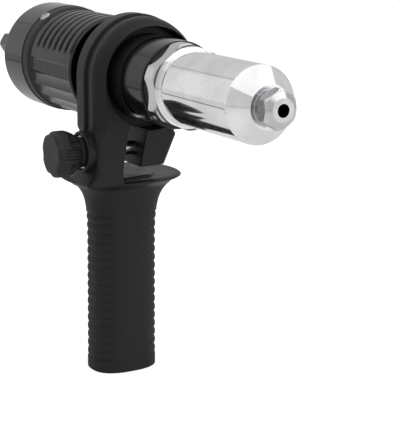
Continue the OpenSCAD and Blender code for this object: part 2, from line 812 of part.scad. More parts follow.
module leg_foot() {
    // The fixed leg spreads into the flange
    spread = 3.2;
    upper = [8.4, leg_side - leg_inside, 5.5];
    lower = [8, leg_side - leg_inside + spread + 1, 0.8];
    hull() {
        translate([ring_front - upper[0] - 0.6, axis_side - leg_side, guard_top - eps]) cube(upper);
        translate([ring_front - lower[0] - 5, axis_side - leg_side - spread, guard_top - 3 * eps])
            cube(lower);
    }
}

module clamp_frame() {
    band_end = ring_ahead + band_w;
    bead_start = band_end + ring_groove_w;
    bead_end = ring_front - bead_rounds[0][0];
    color("#2a2a2c") difference() {
        union() {
            along_x(ring_ahead, band_w) clamp_outline(band_r, leg_side + band_side_rise);
            along_x(band_end, ring_groove_w)
                clamp_outline(ring_groove_r, leg_side - groove_side_drop);
            along_x(bead_start, bead_end - bead_start) clamp_outline(bead_r, leg_side);
            for (round = bead_rounds)
                along_x(ring_front - round[0], round[0])
                    clamp_outline(bead_r - round[1], leg_side - round[1] / 2);
            on_bolt(boss_face) cylinder(r = boss_r, h = boss_len + 3);
            guard_plate();
            leg_foot();
            translate([-tongue_d / 2, -tongue_w / 2, tongue_z])
                cube([tongue_d, tongue_w, guard_low + 1 - tongue_z]);
        }
        on_axis(t_seat - eps) cylinder(r = ring_bore_r, h = ring_w + 2 * eps);
        on_axis(t_seat + ring_w - 1.2) rotate_extrude()
            polygon([[0, 0], [ring_bore_r, 0], [ring_bore_r + 1.2, 1.2 + eps], [0, 1.2 + eps]]);
        on_bolt(boss_face - eps) cylinder(r = bolt_r + 0.2, h = 60);
        on_bolt(boss_face - eps) cylinder(r = washer_r + free_gap, h = washer_seat - boss_face + eps);
        on_bolt(head_face) cylinder(r = (head_across / 2 + 0.1) / cos(30), h = 20, $fn = 6);
    }
}

module grip() {
    // The flare under the flange, each step: its drop below the flange, and how far its rim stands in
    flare = [[0, 5.4], [2.4, 8], [7.3, 10.2], [14, 11.6]];
    color("#2f2f31") difference() {
        union() {
            linear_extrude(guard_low - layer) grip_oval();
            for (i = [1 : len(flare) - 1])
                hull() {
                    flange_layer(guard_low - layer - flare[i][0], flare[i][1]);
                    flange_layer(guard_low - layer - flare[i - 1][0], flare[i - 1][1]);
                }
        }
        translate([-tongue_d / 2 - run_gap, -tongue_w / 2 - run_gap, tongue_z])
            cube([tongue_d + 2 * run_gap, tongue_w + 2 * run_gap, guard_low]);
        for (i = [0 : rib_count])
            translate([0, 0, first_rib + (i - 0.5) * rib_pitch - rib_gap / 2]) linear_extrude(rib_gap)
                difference() {
                    circle(r = grip_w);
                    grip_oval(rib_depth);
                    square([2 * grip_w, rib_clear], center = true);
                }
    }
}

module clamp_bolt() {
    color("#a4a7ab") {
        on_bolt(bolt_end) cylinder(r = bolt_r, h = head_face - bolt_end + eps);
        on_bolt(head_face) cylinder(r = head_across / 2 / cos(30), h = head_len, $fn = 6);
    }
}

module clamp_washer() {
    color("#a4a7ab") on_bolt(washer_face) difference() {
        cylinder(r = washer_r, h = washer_len);
        translate([0, 0, -eps]) cylinder(r = bolt_r + bolt_gap, h = washer_len + 2 * eps);
    }
}

module clamp_knob() {
    lobe_step = 360 / knob_lobes;
    ridge_step = 10;
    ridge_cut_r = 0.45;
    color("#2c2c2e") difference() {
        union() {
            on_bolt(knob_face) rotate_extrude() polygon([
                [0, 0], [knob_r - 1.8, 0], [knob_r - 0.5, 0.7], [knob_r, 2], [knob_r, knob_len - 2.5],
                [knob_r - 0.9, knob_len], [0, knob_len]]);
            on_bolt(knob_back - eps) cylinder(r = washer_r - free_gap, h = knob_neck_face - knob_back + eps);
        }
        for (i = [0 : knob_lobes - 1]) {
            on_bolt(knob_face - eps) rotate([0, 0, (i + 0.5) * lobe_step])
                translate([knob_r + hollow_r - hollow_depth, 0, 0])
                    cylinder(r = hollow_r, h = knob_len + 2 * eps, $fn = 48);
            for (j = [-1, 0, 1])
                on_bolt(knob_face + 1.6) rotate([0, 0, i * lobe_step + j * ridge_step])
                    translate([knob_r + 0.1, 0, 0]) cylinder(r = ridge_cut_r, h = knob_len, $fn = 16);
        }
        on_bolt(insert_end) cylinder(r = insert_r + seat_gap, h = 30);
        on_bolt(bolt_end - bolt_spare) cylinder(r = bolt_r + bolt_gap, h = knob_len);
    }
}

module knob_insert() {
    color("#b58a4a") on_bolt(insert_end) difference() {
        cylinder(r = insert_r, h = knob_neck_face - insert_end);
        translate([0, 0, -eps]) cylinder(r = bolt_r + run_gap, h = 40);
    }
}

rear_collar();
main_housing();
lock_screw();
front_sleeve();
sealing_washer();
nose_housing();
nosepiece();
tube_bush();
rear_bush();
thrust_race_front();
drive_spindle();
retaining_ring();
thrust_race_rear();
ball_cage();
thrust_balls();
pull_nut();
nut_keys();
pull_tube();
jaw_case();
jaw_spring();
jaw_a();
jaw_b();
jaw_c();
jaw_pusher();
clamp_frame();
grip();
clamp_bolt();
clamp_washer();
clamp_knob();
knob_insert();
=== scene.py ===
"""Looks of the rivet drill adapter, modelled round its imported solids, in metres."""

import logging
import math
from collections.abc import Callable, Iterator, Sequence
from contextlib import contextmanager
from dataclasses import dataclass
from enum import Enum

import bmesh
import bpy
from mathutils import Matrix, Vector


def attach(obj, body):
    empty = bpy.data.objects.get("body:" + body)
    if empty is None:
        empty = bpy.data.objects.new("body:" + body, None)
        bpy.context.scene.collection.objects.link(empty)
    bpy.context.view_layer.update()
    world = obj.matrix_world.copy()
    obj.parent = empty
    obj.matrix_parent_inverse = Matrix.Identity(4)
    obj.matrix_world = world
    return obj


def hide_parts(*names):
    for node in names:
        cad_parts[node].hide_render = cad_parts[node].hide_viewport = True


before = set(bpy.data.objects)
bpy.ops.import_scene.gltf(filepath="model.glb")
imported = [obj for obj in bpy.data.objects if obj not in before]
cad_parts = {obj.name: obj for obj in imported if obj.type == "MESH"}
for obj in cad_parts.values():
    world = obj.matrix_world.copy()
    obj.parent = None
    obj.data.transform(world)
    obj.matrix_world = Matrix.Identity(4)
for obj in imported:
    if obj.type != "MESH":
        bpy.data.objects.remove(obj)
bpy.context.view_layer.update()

log = logging.getLogger("rivet_adapter")

MM = 0.001
AXIS_Y = 5.5  # tool axis beside the grip's middle, mm
AXIS_Z = 131.3  # tool axis above the grip's foot, mm
REAR_X = -85.0  # rear face of the collar, mm
TURN_STEPS = 180  # steps of a turned piece

Point = tuple[float, float]
Span = tuple[float, float]
Profile = Sequence[tuple[float, float, float]]


# Modelling helpers


def deselect() -> None:
    """Clears the selection, which loading the solids leaves full."""
    bpy.ops.object.select_all(action="DESELECT")


def pick(obj: bpy.types.Object) -> None:
    """Makes one object the only selected and active one.

    Args:
        obj: the object to pick.
    """
    deselect()
    obj.select_set(True)
    bpy.context.view_layer.objects.active = obj


@contextmanager
def editing(obj: bpy.types.Object, select: str = "DESELECT") -> Iterator[bmesh.types.BMesh]:
    """Opens an object in edit mode.

    Args:
        obj: the mesh object to edit.
        select: how everything is selected at the start.

    Returns:
        The mesh under edit.
    """
    pick(obj)
    bpy.ops.object.mode_set(mode="EDIT")
    bpy.ops.mesh.select_all(action=select)
    try:
        yield bmesh.from_edit_mesh(obj.data)
    finally:
        bpy.ops.object.mode_set(mode="OBJECT")


def named(name: str) -> bpy.types.Object:
    """Names the active object and its mesh, and puts its place into the mesh.

    Args:
        name: the new name.

    Returns:
        The active object.
    """
    obj = bpy.context.view_layer.objects.active
    obj.name = obj.data.name = name
    bpy.ops.object.transform_apply(location=True, rotation=True, scale=True)
    return obj


def smooth(obj: bpy.types.Object, degrees: float = 32.0) -> None:
    """Shades smooth, with sharp edges kept hard and large faces kept flat.

    Args:
        obj: the object to shade.
        degrees: the angle above which an edge is sharp.
    """
    pick(obj)
    bpy.ops.object.shade_smooth_by_angle(angle=math.radians(degrees))
    apply_modifier(obj, "WEIGHTED_NORMAL", keep_sharp=True, weight=80)


def apply_modifier(obj: bpy.types.Object, kind: str, **settings: object) -> None:
    """Adds a modifier, sets it up and applies it.

    Args:
        obj: the object that gets it.
        kind: Blender's name of the modifier's type.
        settings: the modifier's own settings.
    """
    pick(obj)
    modifier = obj.modifiers.new(kind.title(), kind)
    for key, value in settings.items():
        setattr(modifier, key, value)
    bpy.ops.object.modifier_apply(modifier=modifier.name)


def combine(obj: bpy.types.Object, other: bpy.types.Object, operation: str) -> None:
    """Joins, cuts or intersects an object with another, which is used up."""
    apply_modifier(obj, "BOOLEAN", operation=operation, object=other, solver="EXACT")
    bpy.data.objects.remove(other)


def soften(obj: bpy.types.Object, width: float, degrees: float = 30.0, segments: int = 2) -> None:
    """Rounds every edge sharper than an angle.

    Args:
        obj: the object whose edges are rounded.
        width: width of the rounding in mm.
        degrees: the angle above which an edge is rounded.
        segments: the faces across the rounding.
    """
    apply_modifier(
        obj,
        "BEVEL",
        width=width * MM,
        segments=segments,
        limit_method="ANGLE",
        angle_limit=math.radians(degrees),
        harden_normals=False,
        miter_outer="MITER_ARC",
    )


def rounded(corners: Profile, steps: int = 5, closed: bool = True) -> list[Point]:
    """Rounds the corners of an outline.

    Args:
        corners: the corners, each with its rounding radius.
        steps: the straight pieces of each rounding.
        closed: whether the last corner joins the first.

    Returns:
        The points of the rounded outline.
    """
    out: list[Point] = []
    count = len(corners)
    for i, (a, b, radius) in enumerate(corners):
        ends = not closed and i in (0, count - 1)
        if radius <= 0 or ends:
            out.append((a, b))
            continue
        here = Vector((a, b))
        before = Vector(corners[i - 1][:2]) - here
        after = Vector(corners[(i + 1) % count][:2]) - here
        angle = before.angle(after)
        reach = radius / math.tan(angle / 2)
        reach = min(reach, before.length * 0.49, after.length * 0.49)
        radius = reach * math.tan(angle / 2)
        bisector = (before.normalized() + after.normalized()).normalized()
        middle = here + bisector * (radius / math.sin(angle / 2))
        start = here + before.normalized() * reach - middle
        end = here + after.normalized() * reach - middle
        sweep = start.angle_signed(end)
        for k in range(steps + 1):
            turn = -sweep * k / steps
            c, s = math.cos(turn), math.sin(turn)
            out.append((middle.x + start.x * c - start.y * s, middle.y + start.x * s + start.y * c))
    return out


def drawn_line(name: str, points: Sequence[Vector], closed: bool) -> bpy.types.Object:
    """Draws a line of edges by extruding one point after another.

    Args:
        name: the new object's name.
        points: where the line goes, in metres.
        closed: whether the last point joins the first.

    Returns:
        The new object, with edges and no faces.
    """
    deselect()
    bpy.ops.mesh.primitive_plane_add(size=0.001, location=points[0])
    obj = named(name)
    with editing(obj, "SELECT"):
        bpy.ops.mesh.merge(type="CENTER")
        for a, b in zip(points, points[1:]):
            bpy.ops.mesh.extrude_region_move(TRANSFORM_OT_translate={"value": b - a})
        if closed:
            mesh = bmesh.from_edit_mesh(obj.data)
            mesh.verts.ensure_lookup_table()
            mesh.verts[0].select_set(True)
            mesh.select_flush_mode()
            bpy.ops.mesh.edge_face_add()
    return obj


def spun(
    name: str,
    outline: Sequence[Point],
    steps: int = TURN_STEPS,
    centre: tuple[float, float, float] = (REAR_X, AXIS_Y, AXIS_Z),
    axis: tuple[float, float, float] = (1.0, 0.0, 0.0),
    closed: bool = True,
) -> bpy.types.Object:
    """Turns an outline round an axis, as on a lathe.

    Args:
        name: the new object's name.
        outline: points of (distance along the axis, radius) in mm.
        steps: the faces round the axis.
        centre: the point of the axis that distances are counted from, in mm.
        axis: the direction of the axis.
        closed: whether the outline is a closed one.

    Returns:
        The turned object.
    """
    along = Vector(axis).normalized()
    side = along.orthogonal().normalized()
    middle = Vector(centre)
    points = [(middle + along * t + side * r) * MM for t, r in outline]
    obj = drawn_line(name, points, closed)
    with editing(obj, "SELECT"):
        bpy.ops.mesh.spin(steps=steps, angle=math.tau, center=middle * MM, axis=along, use_normal_flip=False)
        bpy.ops.mesh.select_all(action="SELECT")
        bpy.ops.mesh.remove_doubles(threshold=1e-7)
        bpy.ops.mesh.normals_make_consistent(inside=False)
    return obj


def skin(name: str, sections: Sequence[Sequence[Vector]]) -> bpy.types.Object:
    """Extrudes a ring of points from section to section and closes both ends.

    Args:
        name: the new object's name.
        sections: rings of points in metres, all of one length.

    Returns:
        The new object.
    """
    deselect()
    count = len(sections[0])
    bpy.ops.mesh.primitive_circle_add(vertices=count, radius=0.01)
    obj = named(name)
    with editing(obj, "SELECT") as mesh:
        mesh.verts.ensure_lookup_table()
        ring = list(mesh.verts)
        for vert, place in zip(ring, sections[0]):
            vert.co = place
        first = ring
        for section in sections[1:]:
            bpy.ops.mesh.extrude_edges_move()
            mesh = bmesh.from_edit_mesh(obj.data)
            moved = []
            for old in ring:
                new = next(e.other_vert(old) for e in old.link_edges if e.other_vert(old).select)
                moved.append(new)
            for vert, place in zip(moved, section):
                vert.co = place
            ring = moved
        bpy.ops.mesh.edge_face_add()
        bpy.ops.mesh.select_all(action="DESELECT")
        for vert in first:
            vert.select_set(True)
        mesh.select_flush_mode()
        bpy.ops.mesh.edge_face_add()
        bmesh.update_edit_mesh(obj.data)
        bpy.ops.mesh.select_all(action="SELECT")
        bpy.ops.mesh.normals_make_consistent(inside=False)
    return obj


def shape(obj: bpy.types.Object, place: Callable[[Vector], Vector]) -> None:
    """Moves every point of a mesh.

    Args:
        obj: the object whose mesh is shaped.
        place: gives a point's new place for its old one.
    """
    for vert in obj.data.vertices:
        vert.co = place(vert.co)
    obj.data.update()


def left_normal(a: Vector, b: Vector) -> Vector:
    """Turns a run from one point to the next into its left-hand normal."""
    run = (b - a).normalized()
    return Vector((-run.y, run.x))


def blend_step(low: float, high: float, value: float) -> float:
    """Rises smoothly from 0 at low to 1 at high, which may also be the smaller of the two."""
    share = min(1.0, max(0.0, (value - low) / (high - low)))
    return share * share * (3 - 2 * share)


# Finishes


def linear(hex_colour: str) -> tuple[float, float, float, float]:
    """Turns an sRGB hex colour into the linear values that a shader takes.

    Args:
        hex_colour: the colour, as #rrggbb.

    Returns:
        Red, green, blue and a full alpha.
    """
    parts = [int(hex_colour[i : i + 2], 16) / 255 for i in (1, 3, 5)]
    values = [p / 12.92 if p <= 0.04045 else ((p + 0.055) / 1.055) ** 2.4 for p in parts]
    return (values[0], values[1], values[2], 1.0)


def add(
    tree: bpy.types.NodeTree, kind: str, links: dict[str | int, object] | None = None, **settings: object
) -> bpy.types.Node:
    """Adds a node with its settings and what its sockets take.

    Args:
        tree: the material's node tree.
        kind: the node's type.
        links: for each input, a value or the output that feeds it.
        settings: the node's own settings.

    Returns:
        The new node.
    """
    node = tree.nodes.new(kind)
    for key, value in settings.items():
        setattr(node, key, value)
    for key, value in (links or {}).items():
        if isinstance(value, bpy.types.NodeSocket):
            tree.links.new(value, node.inputs[key])
        else:
            node.inputs[key].default_value = value
    return node


class Metalness(Enum):
    """Whether a finish is a bare metal or not."""

    BARE = 1.0
    NONE = 0.0


@dataclass(frozen=True)
class Finish:
    """A surface: its colour, gloss, grain and wear.

    The grain is worked out from a size in millimetres. A cloudy variation keeps the colour
    and the gloss from being the same all over, as handling and making leave them.
    """

    name: str
    colour: str
    worn: str
    metal: Metalness = Metalness.NONE
    rough: float = 0.5
    rough_spread: float = 0.08
    grain_mm: float = 0.6
    grain_height_mm: float = 0.02
    cloud_mm: float = 14.0
    edge_wear: float = 0.25
    specular: float = 0.5
    coat: float = 0.0
    coat_rough: float = 0.1
    brushed_mm: float = 0.0

    def build(self) -> bpy.types.Material:
        """Builds the material's nodes, or finds it if it's there already.

        Returns:
            The material.
        """
        if self.name in bpy.data.materials:
            return bpy.data.materials[self.name]
        material = bpy.data.materials.new(self.name)
        material.use_nodes = True
        tree = material.node_tree
        tree.nodes.clear()
        place = add(tree, "ShaderNodeTexCoord").outputs["Object"]
        # Pattern space in millimetres
        metric = add(
            tree, "ShaderNodeVectorMath", {0: place, 1: (1000.0, 1000.0, 1000.0)}, operation="MULTIPLY"
        ).outputs[0]
        cloud = add(
            tree,
            "ShaderNodeTexNoise",
            {"Vector": metric, "Scale": 1.0 / self.cloud_mm, "Detail": 4.0, "Roughness": 0.6},
        ).outputs["Fac"]
        grain = add(
            tree,
            "ShaderNodeTexNoise",
            {"Vector": metric, "Scale": 1.0 / self.grain_mm, "Detail": 3.0, "Roughness": 0.55},
        ).outputs["Fac"]
        height = grain
        if self.brushed_mm:
            # Turning marks run round the axis, so the lines repeat along X
            lines = add(
                tree,
                "ShaderNodeVectorMath",
                {0: metric, 1: (1.0 / self.brushed_mm, 0.02, 0.02)},
                operation="MULTIPLY",
            ).outputs[0]
            marks = add(tree, "ShaderNodeTexNoise", {"Vector": lines, "Scale": 1.0, "Detail": 2.0})
            brushed = marks.outputs["Fac"]
            height = add(tree, "ShaderNodeMix", {0: 0.6, 2: grain, 3: brushed}, data_type="FLOAT").outputs[0]
        pointed = add(tree, "ShaderNodeNewGeometry").outputs["Pointiness"]
        edge = add(
            tree,
            "ShaderNodeMapRange",
            {"Value": pointed, "From Min": 0.52, "From Max": 0.60, "To Min": 0.0, "To Max": self.edge_wear},
            clamp=True,
        ).outputs[0]
        patchy = add(
            tree,
            "ShaderNodeMapRange",
            {"Value": cloud, "From Min": 0.38, "From Max": 0.62, "To Min": 0.0, "To Max": 1.0},
            clamp=True,
        ).outputs[0]
        shade = add(
            tree,
            "ShaderNodeMix",
            {0: patchy, 6: linear(self.colour), 7: tuple(c * 1.16 for c in linear(self.colour)[:3]) + (1.0,)},
            data_type="RGBA",
        ).outputs[2]
        worn = linear(self.worn)
        colour = add(tree, "ShaderNodeMix", {0: edge, 6: shade, 7: worn}, data_type="RGBA").outputs[2]
        rough = add(
            tree,
            "ShaderNodeMapRange",
            {
                "Value": cloud,
                "From Min": 0.3,
                "From Max": 0.7,
                "To Min": max(0.02, self.rough - self.rough_spread),
                "To Max": self.rough + self.rough_spread,
            },
        ).outputs[0]
        bump = add(
            tree, "ShaderNodeBump", {"Height": height, "Distance": self.grain_height_mm * MM, "Strength": 1.0}
        ).outputs["Normal"]
        shader = add(
            tree,
            "ShaderNodeBsdfPrincipled",
            {
                "Base Color": colour,
                "Roughness": rough,
                "Metallic": self.metal.value,
                "Normal": bump,
                "Coat Weight": self.coat,
                "Coat Roughness": self.coat_rough,
            },
        )
        if self.metal is Metalness.NONE:
            shader.inputs["Specular IOR Level"].default_value = self.specular
        add(tree, "ShaderNodeOutputMaterial", {"Surface": shader.outputs[0]})
        return material


# Blackened steel of the collar, turned: even and glossy, with faint clouds
BLACKED_STEEL = Finish(
    "blackened_steel", "#171718", "#3a3a3a", rough=0.12, rough_spread=0.02, grain_mm=0.5,
    grain_height_mm=0.004, specular=0.6,
)
# Die casting with a black powder coat: a fine sandy grain, which breaks up its sheen
POWDER_COAT = Finish(
    "black_powder_coat", "#151516", "#323233", specular=0.42, rough=0.25, rough_spread=0.05,
    grain_mm=0.55, grain_height_mm=0.009,
)
# Black oxide on the turned band: satin, a shade greyer than the coat beside it
SATIN_BAND = Finish(
    "satin_black_band", "#464647", "#565657", rough=0.5, rough_spread=0.05, grain_mm=0.6,
    grain_height_mm=0.004, specular=0.1,
)
# Painted shade: a dull near-black for the neck in the clamp's shadow and for the inside of the mandrel hole
SHADE_BLACK = Finish(
    "painted_shade_black", "#060606", "#0a0a0a", rough=0.8, grain_mm=0.5, grain_height_mm=0.006,
    specular=0.02,
)
# The seat and shoulder inside the clamp ring: glossy black, a shade lighter than the coat, painted light that
# lifts the shade in the recess between the ring and the sleeve
RECESS_LIFT_BLACK = Finish(
    "recess_painted_light_black", "#222223", "#2c2c2d", rough=0.32, rough_spread=0.06, grain_mm=0.8,
    grain_height_mm=0.004, specular=0.14,
)
# Bright steel of the lock screw: small sharp glints
BRIGHT_STEEL = Finish(
    "bright_screw_steel", "#a9abae", "#dcdcdc", Metalness.BARE, rough=0.2, grain_mm=0.5,
    grain_height_mm=0.003,
)
# Gloss black enamel of the sleeve: sharp reflections with a faint orange peel
GLOSS_ENAMEL = Finish(
    "gloss_black_enamel", "#0c0c0d", "#2a2a2b", rough=0.14, rough_spread=0.03, grain_mm=2.4,
    grain_height_mm=0.004, specular=0.25, coat=0.25, coat_rough=0.04,
)
# Nitrile seal: dull, slightly grey
NITRILE = Finish(
    "nitrile_rubber", "#19191a", "#2c2c2c", rough=0.6, grain_mm=0.4, grain_height_mm=0.01,
)
# Chromed steel: bright, with faint polishing waves
CHROME = Finish(
    "polished_chrome", "#ececed", "#f6f6f6", Metalness.BARE, rough=0.09, rough_spread=0.025,
    grain_mm=3.0, grain_height_mm=0.003, edge_wear=0.1,
)
# Chromed hexagon: the same plating, a little rougher, in a darker grey that is painted shade to set it apart
# from the barrel
CHROME_HEXAGON_SHADE = Finish(
    "chrome_hexagon_painted_shade", "#cbcbcc", "#e2e2e2", Metalness.BARE, rough=0.11, rough_spread=0.03,
    grain_mm=1.6, grain_height_mm=0.004, edge_wear=0.2,
)
# Plated nosepiece: a little softer, with turning marks
PLATED_STEEL = Finish(
    "nickel_plated_steel", "#c9cacb", "#ececec", Metalness.BARE, rough=0.16, rough_spread=0.04,
    grain_mm=0.8, grain_height_mm=0.004, brushed_mm=0.25,
)
# Darker plating as a painted dark reflection: on the nosepiece's spanner flats on the knob's side and in the
# corner at the hexagon's front end
PLATED_SHADE = Finish(
    "plated_painted_shade", "#68696c", "#d2d3d4", Metalness.BARE, rough=0.2, rough_spread=0.05,
    grain_mm=0.8, grain_height_mm=0.005, brushed_mm=0.25,
)
# Drive shank: hardened steel, dark and oiled
OILED_STEEL = Finish(
    "oiled_dark_steel", "#55565a", "#8b8c90", Metalness.BARE, rough=0.33, rough_spread=0.06,
    grain_mm=0.6, grain_height_mm=0.006, brushed_mm=0.3,
)
# Ground bearing steel: nearly a mirror, with grinding lines
GROUND_STEEL = Finish(
    "ground_bearing_steel", "#c4c6c8", "#e6e6e6", Metalness.BARE, rough=0.12, grain_mm=0.5,
    grain_height_mm=0.002, brushed_mm=0.2,
)
# Hardened jaws: dark and dull from tempering
JAW_STEEL = Finish(
    "hardened_jaw_steel", "#6a6c70", "#9a9b9e", Metalness.BARE, rough=0.35, grain_mm=0.5,
    grain_height_mm=0.006,
)
# Machined steel of the inner tube: grey, with turning marks
MACHINED_STEEL = Finish(
    "machined_steel", "#8c8e91", "#b4b5b7", Metalness.BARE, rough=0.28, grain_mm=0.5,
    grain_height_mm=0.005, brushed_mm=0.35,
)
# Drawn spring wire: smooth and half bright
SPRING_WIRE = Finish(
    "drawn_spring_wire", "#94959a", "#c0c0c2", Metalness.BARE, rough=0.25, grain_mm=0.4,
    grain_height_mm=0.003,
)
# Bearing bronze: warm, machined
BRONZE = Finish(
    "machined_bronze", "#b08a4e", "#d9b679", Metalness.BARE, rough=0.3, grain_mm=0.5,
    grain_height_mm=0.006, brushed_mm=0.35,
)
# Glass-filled nylon with a fine spark-eroded grain from the mould: soft, wide highlights.
# Such grain is typically near 0.1 mm and is drawn at 0.5 mm, so that it shows
FRAME_NYLON = Finish(
    "moulded_nylon_frame", "#1b1b1c", "#2f2f30", rough=0.42, rough_spread=0.06, grain_mm=0.5,
    grain_height_mm=0.012, specular=0.27,
)
# The same nylon on the grip: duller and a little greyer than the frame
GRIP_NYLON = Finish(
    "moulded_nylon_grip", "#242425", "#323233", rough=0.55, rough_spread=0.05, grain_mm=0.5,
    grain_height_mm=0.014, specular=0.25,
)
# The same nylon on the knob: its sheen lies between the frame's and the grip's
KNOB_NYLON = Finish(
    "moulded_nylon_knob", "#212122", "#2c2c2d", rough=0.48, rough_spread=0.05, grain_mm=0.5,
    grain_height_mm=0.012, specular=0.34,
)
# Black tape over the seams of the light tent: a thin dark line in the chrome
TENT_TAPE = Finish(
    "black_tape", "#080808", "#101010", rough=0.9, specular=0.1,
)
# Zinc-plated bolt: pale grey, half bright
ZINC = Finish(
    "zinc_plated_steel", "#b6b8bb", "#dcdcdc", Metalness.BARE, rough=0.24, grain_mm=0.7,
    grain_height_mm=0.004,
)

NODE_FINISH: dict[str, Finish] = {
    "rear_collar": BLACKED_STEEL,
    "main_housing": POWDER_COAT,
    "lock_screw": BRIGHT_STEEL,
    "front_sleeve": GLOSS_ENAMEL,
    "sealing_washer": NITRILE,
    "nose_housing": CHROME,
    "nosepiece": PLATED_STEEL,
    "tube_bush": BRONZE,
    "rear_bush": BRONZE,
    "thrust_race_front": GROUND_STEEL,
    "drive_spindle": OILED_STEEL,
    "retaining_ring": SPRING_WIRE,
    "thrust_race_rear": GROUND_STEEL,
    "ball_cage": BRONZE,
    "thrust_balls": GROUND_STEEL,
    "pull_nut": BRONZE,
    "nut_keys": MACHINED_STEEL,
    "pull_tube": MACHINED_STEEL,
    "jaw_case": MACHINED_STEEL,
    "jaw_spring": SPRING_WIRE,
    "jaw_a": JAW_STEEL,
    "jaw_b": JAW_STEEL,
    "jaw_c": JAW_STEEL,
    "jaw_pusher": BRONZE,
    "clamp_frame": FRAME_NYLON,
    "grip": GRIP_NYLON,
    "clamp_bolt": ZINC,
    "clamp_washer": ZINC,
    "clamp_knob": KNOB_NYLON,
    "knob_insert": BRONZE,
}


def dress(obj: bpy.types.Object, finish: Finish) -> None:
    """Gives an object one finish, in place of what it had.

    Args:
        obj: the object to dress.
        finish: its finish.
    """
    material = finish.build()
    if obj.material_slots:
        for slot in obj.material_slots:
            slot.material = material
    else:
        obj.data.materials.append(material)


def dress_part(obj: bpy.types.Object, finish: Finish, chosen: Callable[[Vector, Vector], bool]) -> None:
    """Gives another finish to some of an object's faces.

    Args:
        obj: the object to dress.
        finish: the finish of those faces.
        chosen: tells from a face's centre and normal whether it is one of them.
    """
    obj.data.materials.append(finish.build())
    last = len(obj.data.materials) - 1
    for face in obj.data.polygons:
        if chosen(face.center, face.normal):
            face.material_index = last


def stand_for(obj: bpy.types.Object, node: str, body: str, finish: Finish | None = None) -> None:
    """Puts a new piece in the place of a solid.

    Args:
        obj: the finished piece.
        node: the solid that it stands for.
        body: the body that it moves with.
        finish: its own finish, where that isn't the solid's.
    """
    dress(obj, finish or NODE_FINISH[node])
    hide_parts(node)
    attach(obj, body)
    log.info("%s stands for %s: %d points", obj.name, node, len(obj.data.vertices))


# Body of the tool


